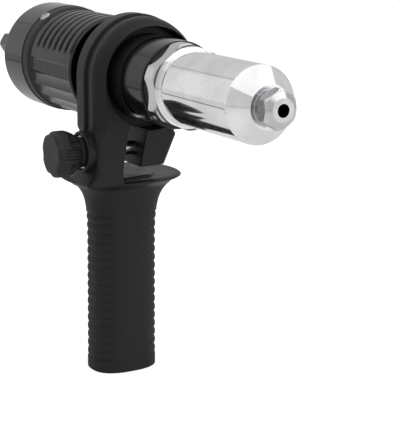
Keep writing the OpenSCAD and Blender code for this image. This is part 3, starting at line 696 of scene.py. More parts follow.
@dataclass
class Body:
    """The grooved housing with its rear collar and lock screw.

    Lengths are in mm and angles in degrees. Stations count from the collar's rear face.
    """

    collar_r: float = 24.6
    collar_wall: float = 4.6
    collar_len: float = 22.5
    band_r: float = 24.2
    rib_start: float = 28.5
    rib_r: float = 23.2
    rib_end: float = 71.6
    neck_start: float = 72.7
    neck_r: float = 22.6
    hollow_r: float = 20.6
    seat_start: float = 87.2
    seat_r: float = 21.6
    seat_end: float = 99.0
    shoulder_r: float = 18.2
    shoulder_end: float = 111.0
    spigot_r: float = 13.4
    spigot_end: float = 137.5
    shell_in_r: float = 20.4  # inside of the plain band's and black neck's pieces
    core_r: float = 20.0  # the housing under those two pieces
    rear_spigot_start: float = 10.6
    rear_spigot_r: float = 19.0  # enters the collar
    hub_r: float = 13.0
    hub_end: float = 9.4
    bush_seat_r: float = 10.6
    bearing_r: float = 14.5
    bearing_end: float = 22.2
    screw_hole_r: float = 7.1  # for the lead screw, through the web
    chamber_start: float = 28.0
    chamber_end: float = 64.7
    chamber_r: float = 19.2  # clears the pull nut and its keys
    tube_bore_r: float = 9.6
    tube_bore_end: float = 119.4
    bore_r: float = 11.1
    first_groove: float = 35.7
    groove_pitch: float = 5.86
    groove_count: int = 7
    groove_depth: float = 2.4
    groove_side: Span = (0.45, 1.4)
    groove_ends: Span = (18.5, 23.0)
    flute_step: float = 15.0
    flute_depth: float = 0.7
    flat_low: int = -9
    flat_high: int = 7
    flat_sunk: float = 0.35
    edge_height: float = 0.35
    lock_place: float = 25.5
    lock_rise: float = 56.0

    def collar(self) -> bpy.types.Object:
        """Turns the rear collar.

        Returns:
            The collar.
        """
        outline = rounded(
            [
                (0.0, self.bush_seat_r, 0.3),
                (0.0, self.collar_r, 2.4),
                (self.collar_len, self.collar_r, 0.35),
                (self.collar_len, self.rear_spigot_r + 0.1, 0.0),
                (self.collar_wall, self.rear_spigot_r + 0.1, 0.0),
                (self.collar_wall, self.hub_r, 0.0),
                (self.hub_end, self.hub_r, 0.0),
                (self.hub_end, self.bush_seat_r, 0.0),
            ],
            7,
        )
        return spun("collar_shell", outline)

    def rib_depth(self, t: float, rise: float) -> float:
        """Works out how deep the surface lies below its full radius.

        Args:
            t: the station along the axis in mm.
            rise: the angle above the horizontal in degrees.

        Returns:
            The depth in mm.
        """
        nearest = round((t - self.first_groove) / self.groove_pitch)
        nearest = min(self.groove_count - 1, max(0, nearest))
        off = abs(t - self.first_groove - nearest * self.groove_pitch)
        upper = blend_step(*self.groove_ends, rise)
        depth = self.groove_depth * upper * (1 - blend_step(*self.groove_side, off))
        along = blend_step(self.rib_start + 0.1, self.rib_start + 1.6, t) * (
            1 - blend_step(self.rib_end - 1.6, self.rib_end - 0.6, t)
        )
        if along <= 0:
            return depth
        chord = abs(rise - (self.flat_low + self.flat_high) / 2)
        half = (self.flat_high - self.flat_low) / 2
        if chord < half:
            sunk = 1 - math.cos(math.radians(half)) / math.cos(math.radians(chord))
            depth = max(depth, along * (self.rib_r * sunk + self.flat_sunk))
        edge = min(abs(rise - self.flat_low), abs(rise - self.flat_high))
        if rise < self.flat_low:
            place = (self.flat_low - rise) / self.flute_step
            share = place - math.floor(place)
            depth = along * self.flute_depth * 4 * share * (1 - share)
        return depth - self.edge_height * along * (1 - blend_step(0.2, 0.9, edge))

    def band(self) -> bpy.types.Object:
        """Turns the plain band between the collar and the grooves.

        Returns:
            The band.
        """
        outline = rounded(
            [
                (self.collar_len + 0.02, self.shell_in_r, 0.0),
                (self.collar_len + 0.02, self.band_r, 0.2),
                (self.rib_start - 0.7, self.band_r, 0.9),
                (self.rib_start + 0.3, self.rib_r - 0.1, 0.0),
                (self.rib_start + 0.3, self.shell_in_r, 0.0),
            ],
            5,
        )
        return spun("plain_band", outline)

    def neck(self) -> bpy.types.Object:
        """Turns the deep black neck behind the clamp ring, whose black is painted shade.

        Returns:
            The neck.
        """
        outline = rounded(
            [
                (self.neck_start - 0.3, self.shell_in_r, 0.0),
                (self.neck_start - 0.3, self.neck_r, 0.0),
                (self.neck_start + 0.4, self.neck_r, 0.1),
                (self.neck_start + 0.4, self.hollow_r, 0.0),
                (self.seat_start, self.hollow_r, 0.0),
                (self.seat_start, self.spigot_r + 0.2, 0.0),
                (self.neck_start - 0.3, self.spigot_r + 0.2, 0.0),
            ],
            4,
        )
        return spun("black_neck", outline)

    def shoulder(self) -> bpy.types.Object:
        """Turns the clamp's seat and the shoulder between the clamp ring and the sleeve.

        Returns:
            The seat and shoulder, as one piece.
        """
        outline = rounded(
            [
                (self.seat_start + 0.02, self.spigot_r + 0.2, 0.0),
                (self.seat_start + 0.02, self.seat_r, 0.2),
                (self.seat_end, self.seat_r, 0.4),
                (self.seat_end, self.shoulder_r, 0.3),
                (self.shoulder_end, self.shoulder_r, 0.2),
                (self.shoulder_end, self.spigot_r + 0.2, 0.0),
            ],
            4,
        )
        return spun("seat_and_shoulder", outline)

    def housing(self) -> bpy.types.Object:
        """Turns the housing and sinks its grooves, flutes and flats.

        Returns:
            The housing.
        """
        steps = 190
        ribs = [
            (self.rib_start + 0.4 + (self.rib_end - self.rib_start - 0.8) * i / steps, self.rib_r)
            for i in range(steps + 1)
        ]
        back = rounded(
            [
                (self.collar_len + 0.5, self.rear_spigot_r, 0.0),
                (self.collar_len + 0.5, self.core_r, 0.0),
                (self.rib_start + 0.1, self.core_r, 0.0),
                (self.rib_start + 0.1, self.rib_r, 0.3),
                (self.rib_start + 2.0, self.rib_r, 0.0),
            ],
            4,
            closed=False,
        )[:-1]
        front = rounded(
            [
                (self.rib_end - 1.0, self.rib_r, 0.0),
                (self.rib_end, self.rib_r, 0.25),
                (self.neck_start, self.neck_r + 0.05, 0.1),
                (self.neck_start, self.core_r, 0.0),
                (self.neck_start + 1.0, self.spigot_r, 0.0),
                (self.spigot_end, self.spigot_r, 0.0),
                (self.spigot_end, self.bore_r, 0.0),
                (self.tube_bore_end, self.bore_r, 0.0),
                (self.tube_bore_end, self.tube_bore_r, 0.0),
                (self.chamber_end, self.tube_bore_r, 0.0),
                (self.chamber_end, self.chamber_r, 0.0),
                (self.chamber_start, self.chamber_r, 0.0),
                (self.chamber_start, self.screw_hole_r, 0.0),
                (self.bearing_end, self.screw_hole_r, 0.0),
                (self.bearing_end, self.bearing_r, 0.0),
                (self.rear_spigot_start, self.bearing_r, 0.0),
                (self.rear_spigot_start, self.rear_spigot_r, 0.0),
                (self.collar_len + 0.5, self.rear_spigot_r, 0.0),
            ],
            4,
            closed=False,
        )[1:-1]
        housing = spun("grooved_housing", [*back, *ribs, *front], 360)

        def place(co: Vector) -> Vector:
            """Sinks a point of the ribbed part by the depth at its station and angle.

            Args:
                co: the point's place.

            Returns:
                Its new place.
            """
            t = co.x / MM - REAR_X
            if not self.rib_start - 2 < t < self.rib_end:
                return co
            y, z = co.y / MM - AXIS_Y, co.z / MM - AXIS_Z
            radius = math.hypot(y, z)
            if radius < self.rib_r - 0.5:
                return co
            rise = math.degrees(math.asin(max(-1.0, min(1.0, z / radius))))
            share = (radius - self.rib_depth(t, rise)) / radius
            return Vector((co.x, (AXIS_Y + y * share) * MM, (AXIS_Z + z * share) * MM))

        shape(housing, place)
        return housing

    def lock(self) -> bpy.types.Object:
        """Turns the round head of the lock screw, with its socket.

        Returns:
            The screw.
        """
        turn = math.radians(self.lock_rise)
        out = Vector((0.0, -math.cos(turn), math.sin(turn)))
        root = Vector((REAR_X + self.lock_place, AXIS_Y, AXIS_Z)) + out * self.band_r
        head = rounded(
            [
                (-4.5, 0.0, 0.0),
                (-4.5, 1.6, 0.0),
                (-0.2, 1.6, 0.0),
                (-0.2, 2.6, 0.1),
                (0.25, 2.6, 0.3),
                (0.85, 1.75, 0.5),
                (0.9, 1.15, 0.1),
                (0.3, 1.05, 0.1),
                (0.25, 0.0, 0.0),
            ],
            4,
            closed=False,
        )
        return spun("lock_screw_head", head, 48, tuple(root), tuple(out), closed=False)

    def build(self) -> None:
        """Builds and places the pieces of the body."""
        made = (
            (self.collar(), "rear_collar", None),
            (self.housing(), "main_housing", None),
            (self.band(), "main_housing", SATIN_BAND),
            # The neck's near-black is painted shade
            (self.neck(), "main_housing", SHADE_BLACK),
            # The seat and shoulder's lighter black is painted light in the shaded recess
            (self.shoulder(), "main_housing", RECESS_LIFT_BLACK),
            (self.lock(), "lock_screw", None),
        )
        for obj, node, finish in made:
            smooth(obj, 38)
            stand_for(obj, node, "tool", finish)


# Nose


@dataclass
class Nose:
    """Gloss sleeve, seal, chrome nose and nosepiece.

    Lengths are in mm and angles in degrees. Stations count from the collar's rear face.
    """

    sleeve_start: float = 111.0
    seal_start: float = 129.3
    hex_start: float = 130.0
    polish_start: float = 138.0
    barrel_start: float = 139.5
    cone_start: float = 189.0
    tip_start: float = 195.5
    sleeve_r: float = 18.0
    spigot_r: float = 13.42
    hex_across: float = 32.6
    hex_corner_r: float = 17.7
    seal_r: float = 16.9
    hex_rise: float = 22.0
    tip_rise: float = 30.0
    barrel_r: float = 15.0
    polish_r: float = 15.6
    case_chamber_r: float = 12.0
    stem_hole_r: float = 5.52
    cone_r: float = 8.5
    tip_across: float = 13.5
    tip_collar_r: float = 6.85
    mandrel_r: float = 2.2

    def hexagon(self, name: str, start: float, length: float, across: float, rise: float) -> bpy.types.Object:
        """Adds a hexagonal bar on the axis.

        Args:
            name: the new object's name.
            start: the station of its rear face in mm.
            length: its length in mm.
            across: its width across flats in mm.
            rise: the angle of one corner above the horizontal, on the knob's side, in degrees.

        Returns:
            The bar.
        """
        deselect()
        middle = Vector((REAR_X + start + length / 2, AXIS_Y, AXIS_Z)) * MM
        along = Matrix.Rotation(math.pi / 2, 3, "Y") @ Matrix.Rotation(math.pi - math.radians(rise), 3, "Z")
        bpy.ops.mesh.primitive_cylinder_add(
            vertices=6,
            radius=across / 2 / math.cos(math.pi / 6) * MM,
            depth=length * MM,
            location=middle,
            rotation=along.to_euler(),
        )
        return named(name)

    def sleeve(self) -> bpy.types.Object:
        """Turns the gloss sleeve.

        Returns:
            The sleeve.
        """
        outline = rounded(
            [
                (self.sleeve_start, self.spigot_r, 0.0),
                (self.sleeve_start, self.sleeve_r + 0.25, 0.7),
                (self.seal_start, self.sleeve_r - 0.05, 0.7),
                (self.seal_start, self.spigot_r, 0.0),
            ],
            6,
        )
        return spun("gloss_sleeve", outline)

    def seal(self) -> bpy.types.Object:
        """Turns the sealing washer, bulged a little where it is squeezed.

        Returns:
            The washer.
        """
        outline = rounded(
            [
                (self.seal_start, self.spigot_r, 0.0),
                (self.seal_start, self.seal_r, 0.35),
                (self.hex_start, self.seal_r, 0.35),
                (self.hex_start, self.spigot_r, 0.0),
            ],
            6,
        )
        return spun("squeezed_seal", outline)

    def housing(self) -> bpy.types.Object:
        """Makes the chrome hexagon and the turned barrel as one piece.

        Returns:
            The nose.
        """
        length = self.polish_start - self.hex_start
        bar = self.hexagon("chrome_hexagon", self.hex_start, length, self.hex_across, self.hex_rise)
        reach = self.hex_corner_r
        chamfer = [
            (self.hex_start - 0.5, 0.0),
            (self.hex_start - 0.5, reach - 0.6),
            (self.hex_start, reach - 0.25),
            (self.hex_start + 0.4, reach),
            (self.polish_start - 1.3, reach),
            (self.polish_start - 0.6, reach - 0.55),
            (self.polish_start + 0.5, reach - 1.8),
            (self.polish_start + 0.5, 0.0),
        ]
        combine(bar, spun("corner_cone", chamfer, 120, closed=False), "INTERSECT")
        bore = [
            (self.hex_start - 2.0, 0.0),
            (self.hex_start - 2.0, self.spigot_r),
            (self.polish_start + 2.0, self.spigot_r),
            (self.polish_start + 2.0, 0.0),
        ]
        combine(bar, spun("hexagon_bore", bore, 96, closed=False), "DIFFERENCE")
        soften(bar, 0.25, 18, 3)
        outline = rounded(
            [
                (self.polish_start - 0.3, self.spigot_r, 0.0),
                (self.polish_start - 0.3, self.polish_r - 0.4, 0.0),
                (self.polish_start + 0.1, self.polish_r, 0.3),
                (self.barrel_start - 0.1, self.polish_r, 0.5),
                (self.barrel_start + 0.25, self.barrel_r, 0.1),
                (self.cone_start, self.barrel_r, 0.9),
                (self.tip_start, self.cone_r, 0.3),
                (self.tip_start, self.stem_hole_r, 0.0),
                (self.cone_start - 4.5, self.stem_hole_r, 0.0),
                (self.cone_start - 4.5, self.case_chamber_r, 0.0),
                (self.polish_start + 0.2, self.case_chamber_r, 0.0),
                (self.polish_start + 0.2, self.spigot_r, 0.0),
            ],
            6,
        )
        barrel = spun("chrome_nose", outline)
        pick(barrel)
        bar.select_set(True)
        bpy.context.view_layer.objects.active = barrel
        bpy.ops.object.join()
        return barrel

    def tip(self) -> bpy.types.Object:
        """Makes the screwed-in nosepiece with its domed hexagon and mandrel hole.

        Returns:
            The nosepiece.
        """
        start = self.tip_start + 2.2
        end = start + 6.6
        bar = self.hexagon("nosepiece_hexagon", start, end - start, self.tip_across, self.tip_rise)
        reach = self.tip_across / 2 / math.cos(math.pi / 6)
        dome = rounded(
            [
                (start - 0.2, 0.0, 0.0),
                (start - 0.2, reach - 0.9, 0.0),
                (start + 0.9, reach + 0.1, 0.2),
                (start + 3.7, reach + 0.1, 0.4),
                (end - 1.7, reach - 1.1, 0.8),
                (end, 4.6, 0.35),
                (end, 0.0, 0.0),
            ],
            6,
            closed=False,
        )
        combine(bar, spun("dome", dome, 120, closed=False), "INTERSECT")
        stem = rounded(
            [
                (self.cone_start - 4.2, 0.0, 0.0),
                (self.cone_start - 4.2, 3.1, 0.0),
                (self.cone_start - 2.1, 5.5, 0.0),
                (self.tip_start, 5.5, 0.0),
                (self.tip_start, self.tip_collar_r, 0.2),
                (start + 0.4, self.tip_collar_r, 0.2),
                (start + 0.4, 0.0, 0.0),
            ],
            4,
            closed=False,
        )
        combine(bar, spun("stem", stem, 96, closed=False), "UNION")
        bore = rounded(
            [
                (self.cone_start - 6.0, 0.0, 0.0),
                (self.cone_start - 6.0, self.mandrel_r, 0.0),
                (end - 0.5, self.mandrel_r, 0.0),
                (end + 0.4, self.mandrel_r + 0.6, 0.0),
                (end + 0.4, 0.0, 0.0),
            ],
            1,
            closed=False,
        )
        combine(bar, spun("bore", bore, 64, closed=False), "DIFFERENCE")
        soften(bar, 0.18, 28, 2)
        bar.name = bar.data.name = "domed_nosepiece"
        return bar

    def build(self) -> None:
        """Builds and places the pieces of the nose."""
        sleeve, seal, nose, tip = self.sleeve(), self.seal(), self.housing(), self.tip()
        made = (
            (sleeve, "front_sleeve"),
            (seal, "sealing_washer"),
            (nose, "nose_housing"),
            (tip, "nosepiece"),
        )
        for obj, node in made:
            smooth(obj, 34)
            stand_for(obj, node, "tool")
        # Painted shade: a darker chrome on the hexagon
        dress_part(nose, CHROME_HEXAGON_SHADE, self.on_hexagon)
        # Painted dark reflection in the corner at the hexagon's front end
        dress_part(nose, PLATED_SHADE, self.on_step)
        # Painted shade: near-black on the walls of the mandrel hole
        dress_part(tip, SHADE_BLACK, self.in_bore)
        # Painted dark reflection on the nosepiece's flats on the knob's side
        dress_part(tip, PLATED_SHADE, self.on_flat)

    def on_hexagon(self, centre: Vector, normal: Vector) -> bool:
        """Tells whether a face belongs to the chrome hexagon."""
        return centre.x / MM - REAR_X < self.polish_start - 0.4

    def on_step(self, centre: Vector, normal: Vector) -> bool:
        """Tells whether a face is the hexagon's front end, whose corner gets a painted dark reflection."""
        return abs(centre.x / MM - REAR_X - self.polish_start) < 0.45 and 0.3 < normal.x < 0.999

    def in_bore(self, centre: Vector, normal: Vector) -> bool:
        """Tells whether a face lies in the mandrel hole, which gets painted shade."""
        near_axis = math.hypot(centre.y / MM - AXIS_Y, centre.z / MM - AXIS_Z) < self.mandrel_r + 0.4
        return near_axis and abs(normal.x) < 0.75

    def on_flat(self, centre: Vector, normal: Vector) -> bool:
        """Tells whether a face is one of the nosepiece's spanner flats on the knob's side, which get a
        painted dark reflection.
        """
        outside = centre.x / MM - REAR_X > self.tip_start + 0.3 and abs(normal.x) < 0.3
        return outside and normal.y < 0.1 and not self.in_bore(centre, normal)


# Clamp frame and handle


@dataclass
class Clamp:
    """The clamp ring with its fixed leg, free jaw, boss and flange, as one moulding.

    Lengths are in mm and angles in degrees. The points of the mouth, jaw and leg count from the
    tool's axis, and the boss and flange from the grip's foot.
    """

    rear_x: float = 2.5
    width: float = 18.1
    bore_r: float = 21.66
    outer_r: float = 26.0
    jaw_turn: float = -62.0
    jaw_foot: Point = (5.8, -37.1)
    mouth_top: Point = (-2.85, -21.47)
    mouth_foot: Point = (-6.05, -37.1)
    mouth_lean: float = 0.1655
    leg_in: float = -10.8
    leg_foot: float = -43.4
    least_wall: float = 0.35
    thinned: float = 2.3
    thin_from: Span = (60.0, 142.0)
    thin_to: Span = (185.0, 235.0)
    raised_from: Span = (-23.0, -20.5)
    bolt_x: float = 10.25
    bolt_z: float = 100.9
    bolt_hole_r: float = 3.2
    boss_face: float = -24.0
    boss_r: float = 8.8
    boss_len: float = 6.0
    washer_seat_r: float = 7.5
    washer_seat_depth: float = 2.2
    tongue: tuple[float, float, float] = (11.9, 18.9, 80.4)
    tongue_middle: float = 44.3
    flange_x: float = 22.0
    flange_near: float = 25.8
    flange_far: float = 26.9
    grip_x: float = 11.6
    grip_y: float = 14.9
    grip_share: float = 0.6
    oval_count: int = 96

    def outer(self, rise: float) -> float:
        """Works out the outer radius at an angle above the horizontal, counted from the knob's side."""
        thin = blend_step(*self.thin_from, rise) * (1 - blend_step(*self.thin_to, rise))
        return self.outer_r - self.thinned * thin

    def path(self) -> list[tuple[Vector, Vector, float]]:
        """Lists the stations of the C-shaped strip.

        Returns:
            The inner point, the outer point and how much the rim is raised, from the leg's foot
            round the bore to the jaw's foot.
        """
        rows: list[tuple[Vector, Vector, float]] = []
        hit = -math.sqrt(self.bore_r**2 - self.leg_in**2)
        for i in range(14):
            z = self.leg_foot + (hit - self.leg_foot) * i / 14
            inner = Vector((self.leg_in - self.mouth_lean * (hit - z), z))
            rows.append((inner, Vector((-self.outer_r, z)), blend_step(*self.raised_from, z)))
        start = 360 + math.degrees(math.atan2(hit, self.leg_in))
        for i in range(10):
            turn = math.radians(start + (180 - start) * i / 10)
            z = hit * (1 - i / 10)
            inner = Vector((math.cos(turn), math.sin(turn))) * self.bore_r
            rows.append((inner, Vector((-self.outer_r, z)), blend_step(*self.raised_from, z)))
        sweep = 96
        for i in range(sweep + 1):
            rise = (180 - self.jaw_turn) * i / sweep
            turn = math.radians(180 - rise)
            ray = Vector((math.cos(turn), math.sin(turn)))
            rows.append((ray * self.bore_r, ray * self.outer(rise), 1.0))
        corner = rows[-1][1]
        foot = Vector(self.jaw_foot)
        last = math.degrees(math.atan2(self.mouth_top[1], self.mouth_top[0]))
        for i in range(1, 9):
            turn = math.radians(self.jaw_turn + (last - self.jaw_turn) * i / 8)
            outer = corner.lerp(foot, 0.3 * i / 8)
            inner = Vector((math.cos(turn), math.sin(turn))) * self.bore_r
            rows.append((inner, outer, 1 - blend_step(0, 3, i)))
        for i in range(1, 9):
            inner = Vector(self.mouth_top).lerp(Vector(self.mouth_foot), i / 8)
            outer = corner.lerp(foot, 0.3 + 0.7 * i / 8)
            rows.append((inner, outer, 0.0))
        return rows

    def section(self) -> list[tuple[float, bool, float, float]]:
        """Lists the section's points.

        Returns:
            For each, its place across the strip, whether it's on the outside, and its height above
            the surface where the rim is raised and where it's plain, in mm.
        """
        w = self.width
        return [
            (0.0, False, 0.5, 0.5),
            (0.0, True, 0.3, -0.7),
            (0.12, True, 0.7, -0.3),
            (0.4, True, 0.93, -0.08),
            (0.8, True, 1.0, 0.0),
            (4.5, True, 1.0, 0.0),
            (6.9, True, 1.0, 0.0),
            (7.25, True, 0.92, 0.0),
            (7.42, True, 0.6, 0.0),
            (7.5, True, 0.0, 0.0),
            (7.7, True, -0.12, 0.0),
            (8.6, True, -0.2, 0.0),
            (9.6, True, -0.15, 0.0),
            (10.6, True, -0.05, 0.0),
            (11.6, True, 0.2, 0.0),
            (13.3, True, 0.2, 0.0),
            (14.3, True, -0.05, 0.0),
            (15.3, True, -0.6, 0.0),
            (15.85, True, -1.04, 0.0),
            (16.2, True, -1.35, -0.4),
            (16.55, True, -1.72, 0.0),
            (16.8, True, -2.0, -0.02),
            (17.2, True, -2.5, -0.4),
            (17.65, True, -3.2, -0.85),
            (17.95, True, -3.8, -1.15),
            (w, True, -4.1, -1.35),
            (w, False, 0.2, 0.5),
            (w - 0.15, False, 0.05, 0.2),
            (w - 0.5, False, 0.0, 0.05),
            (w - 1.0, False, 0.0, 0.0),
            (w / 2, False, 0.0, 0.0),
            (0.5, False, 0.0, 0.0),
            (0.12, False, 0.14, 0.14),
        ]

    def strip(self) -> bpy.types.Object:
        """Sweeps the section round the tool, from the leg's foot to the free jaw's foot.

        Returns:
            The leg, ring and jaw as one strip.
        """
        rows = self.path()
        sections = []
        for i, (inner, outer, raised) in enumerate(rows):
            before, after = rows[max(0, i - 1)], rows[min(len(rows) - 1, i + 1)]
            out_normal = left_normal(before[1], after[1])
            in_normal = left_normal(before[0], after[0])
            lowest = self.least_wall - (outer - inner).length
            ring = []
            for x, outside, high, plain in self.section():
                height = plain + (high - plain) * raised
                if outside:
                    height = max(height, lowest)
                point = outer + out_normal * height if outside else inner + in_normal * height
                ring.append(Vector((self.rear_x + x, AXIS_Y + point.x, AXIS_Z + point.y)) * MM)
            sections.append(ring)
        return skin("clamp_strip", sections)

    def oval(self, half_x: float, near_y: float, far_y: float, power: float, z: float) -> list[Vector]:
        """Lists the points of a level superellipse that is wider on one side.

        Args:
            half_x: its half length along the tool in mm.
            near_y: its reach on the knob's side in mm.
            far_y: its reach on the other side in mm.
            power: 2 for an ellipse, more for a squarer one.
            z: its height in mm.

        Returns:
            The points in metres.
        """
        ring = []
        for i in range(self.oval_count):
            turn = math.tau * i / self.oval_count
            c, s = math.cos(turn), math.sin(turn)
            half_y = far_y if s > 0 else near_y
            x = math.copysign(abs(c) ** (2 / power), c) * half_x
            y = math.copysign(abs(s) ** (2 / power), s) * half_y
            ring.append(Vector((x, y, z)) * MM)
        return ring

    def flange(self) -> bpy.types.Object:
        """Lofts the flange with its rounded rim.

        Returns:
            The flange.
        """
        levels = [
            (84.0, 0.0, 2.0),
            (84.0, 0.70, 2.3),
            (84.0, 0.815, 2.35),
            (84.5, 0.84, 2.35),
            (85.1, 0.872, 2.32),
            (85.7, 0.907, 2.3),
            (86.2, 0.942, 2.3),
            (86.6, 0.975, 2.3),
            (87.0, 0.996, 2.3),
            (87.3, 1.0, 2.3),
            (87.65, 0.993, 2.3),
            (88.0, 0.975, 2.3),
            (88.28, 0.945, 2.3),
            (88.3, 0.90, 2.3),
            (88.05, 0.84, 2.3),
            (87.95, 0.7, 2.2),
            (88.0, 0.3, 2.0),
            (88.0, 0.02, 2.0),
        ]
        sections = []
        for z, share, power in levels:
            half_x = self.spread(self.grip_x, self.flange_x, share)
            near = self.spread(self.grip_y, self.flange_near, share)
            far = self.spread(self.grip_y, self.flange_far, share)
            sections.append(self.oval(half_x, near, far, power, z))
        return skin("handle_flange", sections)

    def spread(self, grip: float, rim: float, share: float) -> float:
        """Works out a half size of the flange's level.

        Args:
            grip: the half size over the grip in mm.
            rim: the half size at the rim in mm.
            share: 0 in the middle, 0.6 over the grip's side and 1 at the rim.

        Returns:
            The half size in mm.
        """
        if share > self.grip_share:
            return grip + (rim - grip) * (share - self.grip_share) / (1 - self.grip_share)
        return max(0.2, grip * share / self.grip_share)

    def flare(self) -> bpy.types.Object:
        """Lofts the foot of the leg, which sweeps out into the flange's rim.

        Returns:
            The foot.
        """
        rows = [
            (98.5, 2.7, 20.5, -20.4, -8.6, 0.8),
            (95.0, 2.45, 20.5, -20.65, -8.6, 1.0),
            (92.5, 1.9, 20.5, -21.2, -8.5, 1.6),
            (90.5, 0.8, 20.55, -22.3, -8.4, 2.4),
            (89.2, -0.9, 20.65, -23.4, -8.3, 3.4),
            (88.3, -3.0, 20.8, -24.4, -8.2, 4.6),
            (87.5, -4.5, 20.8, -24.8, -8.0, 5.0),
            (86.6, -4.5, 20.2, -24.4, -8.0, 5.0),
        ]
        sections = []
        for z, x0, x1, y0, y1, r in rows:
            corners = [(x0, y0, r), (x1, y0, min(r, 1.6) + 0.4), (x1, y1, 0.4), (x0, y1, 0.4)]
            sections.append([Vector((x, y, z)) * MM for x, y in rounded(corners, 7)])
        return skin("leg_flare", sections)

    def pad(self) -> bpy.types.Object:
        """Lofts the low platform on top of the flange.

        Returns:
            The platform.
        """
        corners = [
            (-14.0, -6.0, 2.0),
            (-14.0, 12.0, 5.0),
            (-5.0, 16.0, 5.0),
            (7.0, 13.5, 4.0),
            (13.0, 8.6, 3.0),
            (16.2, -6.0, 1.0),
        ]
        sections = []
        for z, inset in ((87.5, -0.3), (88.2, -0.2), (88.75, 0.25), (88.9, 0.8)):
            ring = rounded([(x * (1 - inset / 16), y * (1 - inset / 16), r) for x, y, r in corners], 6)
            sections.append([Vector((x, y, z)) * MM for x, y in ring])
        return skin("flange_pad", sections)

    def boss(self) -> bpy.types.Object:
        """Turns the round boss under the knob, with the washer's seat sunk in it.

        Returns:
            The boss.
        """
        outline = rounded(
            [
                (0.0, self.washer_seat_r, 0.2),
                (0.0, self.boss_r, 0.5),
                (self.boss_len, self.boss_r, 0.0),
                (self.boss_len, self.bolt_hole_r, 0.0),
                (self.washer_seat_depth, self.bolt_hole_r, 0.0),
                (self.washer_seat_depth, self.washer_seat_r, 0.3),
            ],
            5,
        )
        middle = (self.bolt_x, self.boss_face, self.bolt_z)
        return spun("clamp_boss", outline, 96, middle, (0.0, 1.0, 0.0))

    def handle_tongue(self) -> bpy.types.Object:
        """Adds the tongue that the grip is pushed over.

        Returns:
            The tongue.
        """
        deselect()
        bpy.ops.mesh.primitive_cube_add(
            size=1.0, location=(0.0, 0.0, self.tongue_middle * MM), scale=Vector(self.tongue) * MM
        )
        bar = named("handle_tongue")
        soften(bar, 0.6)
        return bar

    def build(self) -> None:
        """Builds the moulding, piece by piece."""
        made = (
            (self.strip(), 40),
            (self.flange(), 50),
            (self.flare(), 60),
            (self.pad(), 50),
            (self.boss(), 35),
            (self.handle_tongue(), 35),
        )
        for obj, angle in made:
            smooth(obj, angle)
            stand_for(obj, "clamp_frame", "handle")


@dataclass
class Handle:
    """The ribbed grip, an oval with a flared top. Lengths are in mm and angles in degrees."""

    half_x: float = 11.6
    near_y: float = 15.1
    far_y: float = 15.3
    spread: float = 0.35
    foot_round: float = 0.35
    top: float = 83.98
    flare_top: float = 87.0
    flare_x: float = 19.6
    flare_near: float = 25.8
    flare_far: float = 27.6
    near_reach: float = 4.7
    far_reach: float = 5.4
    first_rib: float = 7.5
    rib_pitch: float = 3.84
    rib_count: int = 17
    rib_depth: float = 0.6
    rib_edge: float = 41.0
    power: float = 2.5
    round_count: int = 144

    def flare_share(self, z: float, reach: float) -> float:
        """Works out how far the section has grown towards the flange at a height."""
        return math.exp(-(self.flare_top - z) / reach)

    def rib_inset(self, z: float, turn: float) -> float:
        """Works out how deep the surface lies between the ribs.

        Args:
            z: the height in mm.
            turn: the angle round the grip in radians.

        Returns:
            The depth in mm.
        """
        place = (z - self.first_rib) / self.rib_pitch
        nearest = round(place)
        if not -1 <= nearest <= self.rib_count:
            return 0.0
        off = 2 * abs(place - nearest)
        start = self.first_rib - self.rib_pitch / 2
        end = self.first_rib + (self.rib_count - 0.5) * self.rib_pitch
        inside = blend_step(start - 0.5, start, z) * (1 - blend_step(end, end + 0.5, z))
        side = math.atan2(math.sin(turn) * self.near_y, abs(math.cos(turn)) * self.half_x)
        shown = blend_step(self.rib_edge - 5, self.rib_edge + 4, abs(math.degrees(side)))
        return self.rib_depth * off**2 * inside * shown

    def grip(self) -> bpy.types.Object:
        """Lofts the grip from its foot to the flange.

        Returns:
            The grip.
        """
        heights = [0.0, 0.12, 0.4, 1.2, 3.0, 5.0]
        start = self.first_rib - self.rib_pitch / 2
        steps = 10
        heights += [start + self.rib_pitch * i / steps for i in range(self.rib_count * steps + 1)]
        heights += [start + self.rib_pitch * self.rib_count + 0.5]
        low = heights[-1]
        heights += [low + (self.top - low) * i / 14 for i in range(1, 15)]
        sections = []
        for z in heights:
            near_share = self.flare_share(z, self.near_reach)
            far_share = self.flare_share(z, self.far_reach)
            foot = self.foot_round * (1 - min(1.0, z / 0.4)) ** 2
            fuller = self.spread * z / self.top
            half_x = self.half_x + fuller * 0.5 + (self.flare_x - self.half_x) * near_share - foot
            near = self.near_y - 2.2 * fuller + (self.flare_near - self.near_y) * near_share - foot
            far = self.far_y + (self.flare_far - self.far_y) * far_share - foot
            ring = []
            for i in range(self.round_count):
                turn = math.tau * i / self.round_count
                c, s = math.cos(turn), math.sin(turn)
                half_y = far if s > 0 else near
                x = math.copysign(abs(c) ** (2 / self.power), c)
                y = math.copysign(abs(s) ** (2 / self.power), s)
                inset = self.rib_inset(z, turn)
                ring.append(Vector((x * (half_x - inset), y * (half_y - inset), z)) * MM)
            sections.append(ring)
        return skin("ribbed_grip", sections)

    def build(self) -> None:
        """Builds and places the grip."""
        grip = self.grip()
        smooth(grip, 50)
        stand_for(grip, "grip", "handle")


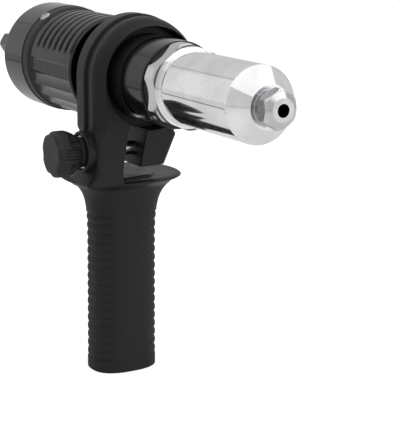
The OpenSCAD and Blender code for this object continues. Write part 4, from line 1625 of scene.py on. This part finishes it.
@dataclass
class Knob:
    """The lobed knob of the clamp, with lines sunk in its lobes, in mm and degrees."""

    x: float = 10.25
    z: float = 100.9
    face_y: float = -37.2
    back_y: float = -24.9
    neck_y: float = -23.62
    neck_r: float = 6.5
    insert_hole_r: float = 4.6
    radius: float = 9.8
    lobes: int = 5
    notch_depth: float = 0.7
    hollow_depth: float = 2.9
    line_places: tuple[float, ...] = (-12.0, -4.0, 4.0, 12.0)
    line_depth: float = 0.5
    phase: float = 6.0
    count: int = 240

    def sunk(self, turn: float, share: float) -> float:
        """Works out how far the surface lies inside the knob's full radius.

        Args:
            turn: the angle round the knob in radians.
            share: the share of its length from the face.

        Returns:
            The distance in mm.
        """
        step = 360.0 / self.lobes
        off = (math.degrees(turn) - self.phase) % step
        off = min(off, step - off)
        deeper = self.hollow_depth * blend_step(0.46, 0.6, share)
        notch = blend_step(17.0, 31.0, off) * (self.notch_depth + deeper)
        line = 0.0
        for place in self.line_places:
            gap = abs(((math.degrees(turn) - self.phase + step / 2) % step) - step / 2 - place)
            line = max(line, self.line_depth * (1 - blend_step(0.6, 2.8, gap)))
        return notch + line * blend_step(0.12, 0.3, share)

    def body(self) -> bpy.types.Object:
        """Lofts the lobed body along the bolt.

        Returns:
            The body.
        """
        length = self.back_y - self.face_y
        stations = [
            (0.0, 2.2),
            (0.008, 1.2),
            (0.03, 0.62),
            (0.07, 0.26),
            (0.12, 0.08),
            (0.18, 0.0),
            (0.3, 0.0),
            (0.42, 0.0),
            (0.47, 0.02),
            (0.51, 0.1),
            (0.55, 0.25),
            (0.6, 0.45),
            (0.66, 0.75),
            (0.74, 1.25),
            (0.82, 1.85),
            (0.9, 2.5),
            (0.96, 3.1),
            (1.0, 3.6),
        ]
        sections = []
        for share, inset in stations:
            ring = []
            for i in range(self.count):
                turn = math.tau * i / self.count
                r = max(self.neck_r - 0.6, self.radius - inset - self.sunk(turn, share))
                y = self.face_y + length * share
                ring.append(Vector((self.x + r * math.cos(turn), y, self.z + r * math.sin(turn))) * MM)
            sections.append(ring)
        return skin("lobed_knob", sections)

    def neck(self) -> bpy.types.Object:
        """Turns the short neck that runs from the lobed body to the washer, round the insert.

        Returns:
            The neck.
        """
        outline = rounded(
            [
                (self.back_y - 0.6, self.insert_hole_r, 0.0),
                (self.back_y - 0.6, self.neck_r, 0.0),
                (self.neck_y, self.neck_r, 0.3),
                (self.neck_y, self.insert_hole_r, 0.0),
            ],
            4,
        )
        return spun("knob_neck", outline, 72, (self.x, 0.0, self.z), (0.0, 1.0, 0.0))

    def build(self) -> None:
        """Builds and places the knob."""
        for knob in (self.body(), self.neck()):
            smooth(knob, 40)
            stand_for(knob, "clamp_knob", "knob")


# Studio


@dataclass
class Studio:
    """Camera, floor and lights, in metres but for the eye's place, which is in mm.

    The camera stands where the photo was taken from, as worked out from the photo.
    """

    eye_mm: tuple[float, float, float] = (511.5, -256.0, 204.8)
    azimuth: float = 59.9
    elevation: float = 13.17
    roll: float = 0.36
    focal_px: float = 1333.7
    frame_px: tuple[int, int] = (400, 421)
    target: tuple[float, float, float] = (0.02, 0.0, 0.1)
    paper_glow: float = 0.76
    paper_sheen: float = 0.16
    room_light: float = 0.25
    tent_light: float = 0.6
    backdrop_light: float = 1.0
    tape_width: float = 0.013

    def camera(self) -> None:
        """Adds the camera at the photo's place, angle and focal length."""
        data = bpy.data.cameras.new("photo_camera")
        data.sensor_fit = "AUTO"
        data.sensor_width = 36.0
        data.lens = self.focal_px / max(self.frame_px) * data.sensor_width
        data.clip_start = 0.01
        data.clip_end = 20.0
        camera = bpy.data.objects.new("photo_camera", data)
        bpy.context.scene.collection.objects.link(camera)
        turn = Matrix.Rotation(math.radians(self.azimuth), 3, "Z")
        tilt = Matrix.Rotation(math.radians(90.0 - self.elevation), 3, "X")
        roll = Matrix.Rotation(math.radians(self.roll), 3, "Z")
        camera.matrix_world = Matrix.Translation(Vector(self.eye_mm) * MM) @ (turn @ tilt @ roll).to_4x4()
        bpy.context.scene.camera = camera

    def card(self, name: str, place: Sequence[float], size: float, power: float) -> None:
        """Adds a soft square light aimed at the tool.

        Args:
            name: the light's name.
            place: where it stands, in metres.
            size: its width and height in metres.
            power: its power in watts.
        """
        data = bpy.data.lights.new(name, "AREA")
        data.shape = "RECTANGLE"
        data.size = data.size_y = size
        data.energy = power
        light = bpy.data.objects.new(name, data)
        bpy.context.scene.collection.objects.link(light)
        light.location = place
        light.rotation_euler = (Vector(self.target) - Vector(place)).to_track_quat("-Z", "Y").to_euler()

    def floor(self) -> None:
        """Adds the pale floor, which the camera and the metal see as white."""
        deselect()
        bpy.ops.mesh.primitive_plane_add(size=4.0, location=(0.0, 0.0, -0.0002))
        floor = named("studio_floor")
        material = bpy.data.materials.new("studio_paper")
        material.use_nodes = True
        tree = material.node_tree
        tree.nodes.clear()
        path = add(tree, "ShaderNodeLightPath").outputs
        paper = add(tree, "ShaderNodeBsdfDiffuse", {"Color": linear("#f4f4f4")}).outputs[0]
        white = linear("#ffffff")
        glow = add(tree, "ShaderNodeEmission", {"Color": white, "Strength": self.paper_glow}).outputs[0]
        sheen = add(tree, "ShaderNodeEmission", {"Color": white, "Strength": self.paper_sheen}).outputs[0]
        lit = add(tree, "ShaderNodeAddShader", {0: paper, 1: glow}).outputs[0]
        mirrored = add(tree, "ShaderNodeAddShader", {0: paper, 1: sheen}).outputs[0]
        glossy, camera = path["Is Glossy Ray"], path["Is Camera Ray"]
        unseen = add(tree, "ShaderNodeMixShader", {0: glossy, 1: paper, 2: mirrored}).outputs[0]
        mixed = add(tree, "ShaderNodeMixShader", {0: camera, 1: unseen, 2: lit}).outputs[0]
        add(tree, "ShaderNodeOutputMaterial", {"Surface": mixed})
        floor.data.materials.append(material)

    def seam(self, name: str, low: Sequence[float], high: Sequence[float]) -> None:
        """Hangs a thin black strip where two panels of the light tent meet.

        It casts no shadow and the camera doesn't see it, so it shows in reflections only.

        Args:
            name: the strip's name.
            low: one end in metres.
            high: the other end in metres.
        """
        deselect()
        start, end = Vector(low), Vector(high)
        bpy.ops.mesh.primitive_cylinder_add(
            vertices=8,
            radius=self.tape_width / 2,
            depth=(end - start).length,
            location=(start + end) / 2,
            rotation=(end - start).to_track_quat("Z", "Y").to_euler(),
        )
        strip = named(name)
        dress(strip, TENT_TAPE)
        strip.visible_shadow = False
        strip.visible_camera = False

    def world(self) -> None:
        """Lights the room evenly, with a white background for the camera."""
        world = bpy.data.worlds.new("studio_room")
        bpy.context.scene.world = world
        world.use_nodes = True
        tree = world.node_tree
        tree.nodes.clear()
        path = add(tree, "ShaderNodeLightPath").outputs
        room, tent, backdrop = (
            add(tree, "ShaderNodeBackground", {"Color": linear("#ffffff"), "Strength": strength}).outputs[0]
            for strength in (self.room_light, self.tent_light, self.backdrop_light)
        )
        glossy, camera = path["Is Glossy Ray"], path["Is Camera Ray"]
        mirrored = add(tree, "ShaderNodeMixShader", {0: glossy, 1: room, 2: tent}).outputs[0]
        mixed = add(tree, "ShaderNodeMixShader", {0: camera, 1: mirrored, 2: backdrop}).outputs[0]
        add(tree, "ShaderNodeOutputWorld", {"Surface": mixed})

    def build(self) -> None:
        """Sets up the camera, the floor and the light."""
        self.camera()
        self.floor()
        self.world()
        self.card("overhead_softbox", (0.0, 0.0, 1.1), 2.3, 7.6)
        self.card("front_softbox", (0.9, 0.5, 0.6), 1.4, 4.4)
        self.card("side_softbox", (-0.6, -0.9, 0.5), 1.6, 1.1)
        self.seam("upper_seam", (-2.2, -0.23, 0.733), (0.3, -0.23, 0.733))
        self.seam("lower_seam", (-2.2, -0.34, 0.008), (0.1, -0.34, 0.008))
        bpy.context.scene.view_settings.view_transform = "Standard"


def main() -> None:
    """Builds the pieces in order and reports them."""
    logging.basicConfig(level=logging.INFO, format="%(message)s")
    Studio().build()
    for name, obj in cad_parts.items():
        dress(obj, NODE_FINISH[name])
    Body().build()
    Nose().build()
    Clamp().build()
    Handle().build()
    Knob().build()


if __name__ == "__main__":
    main()
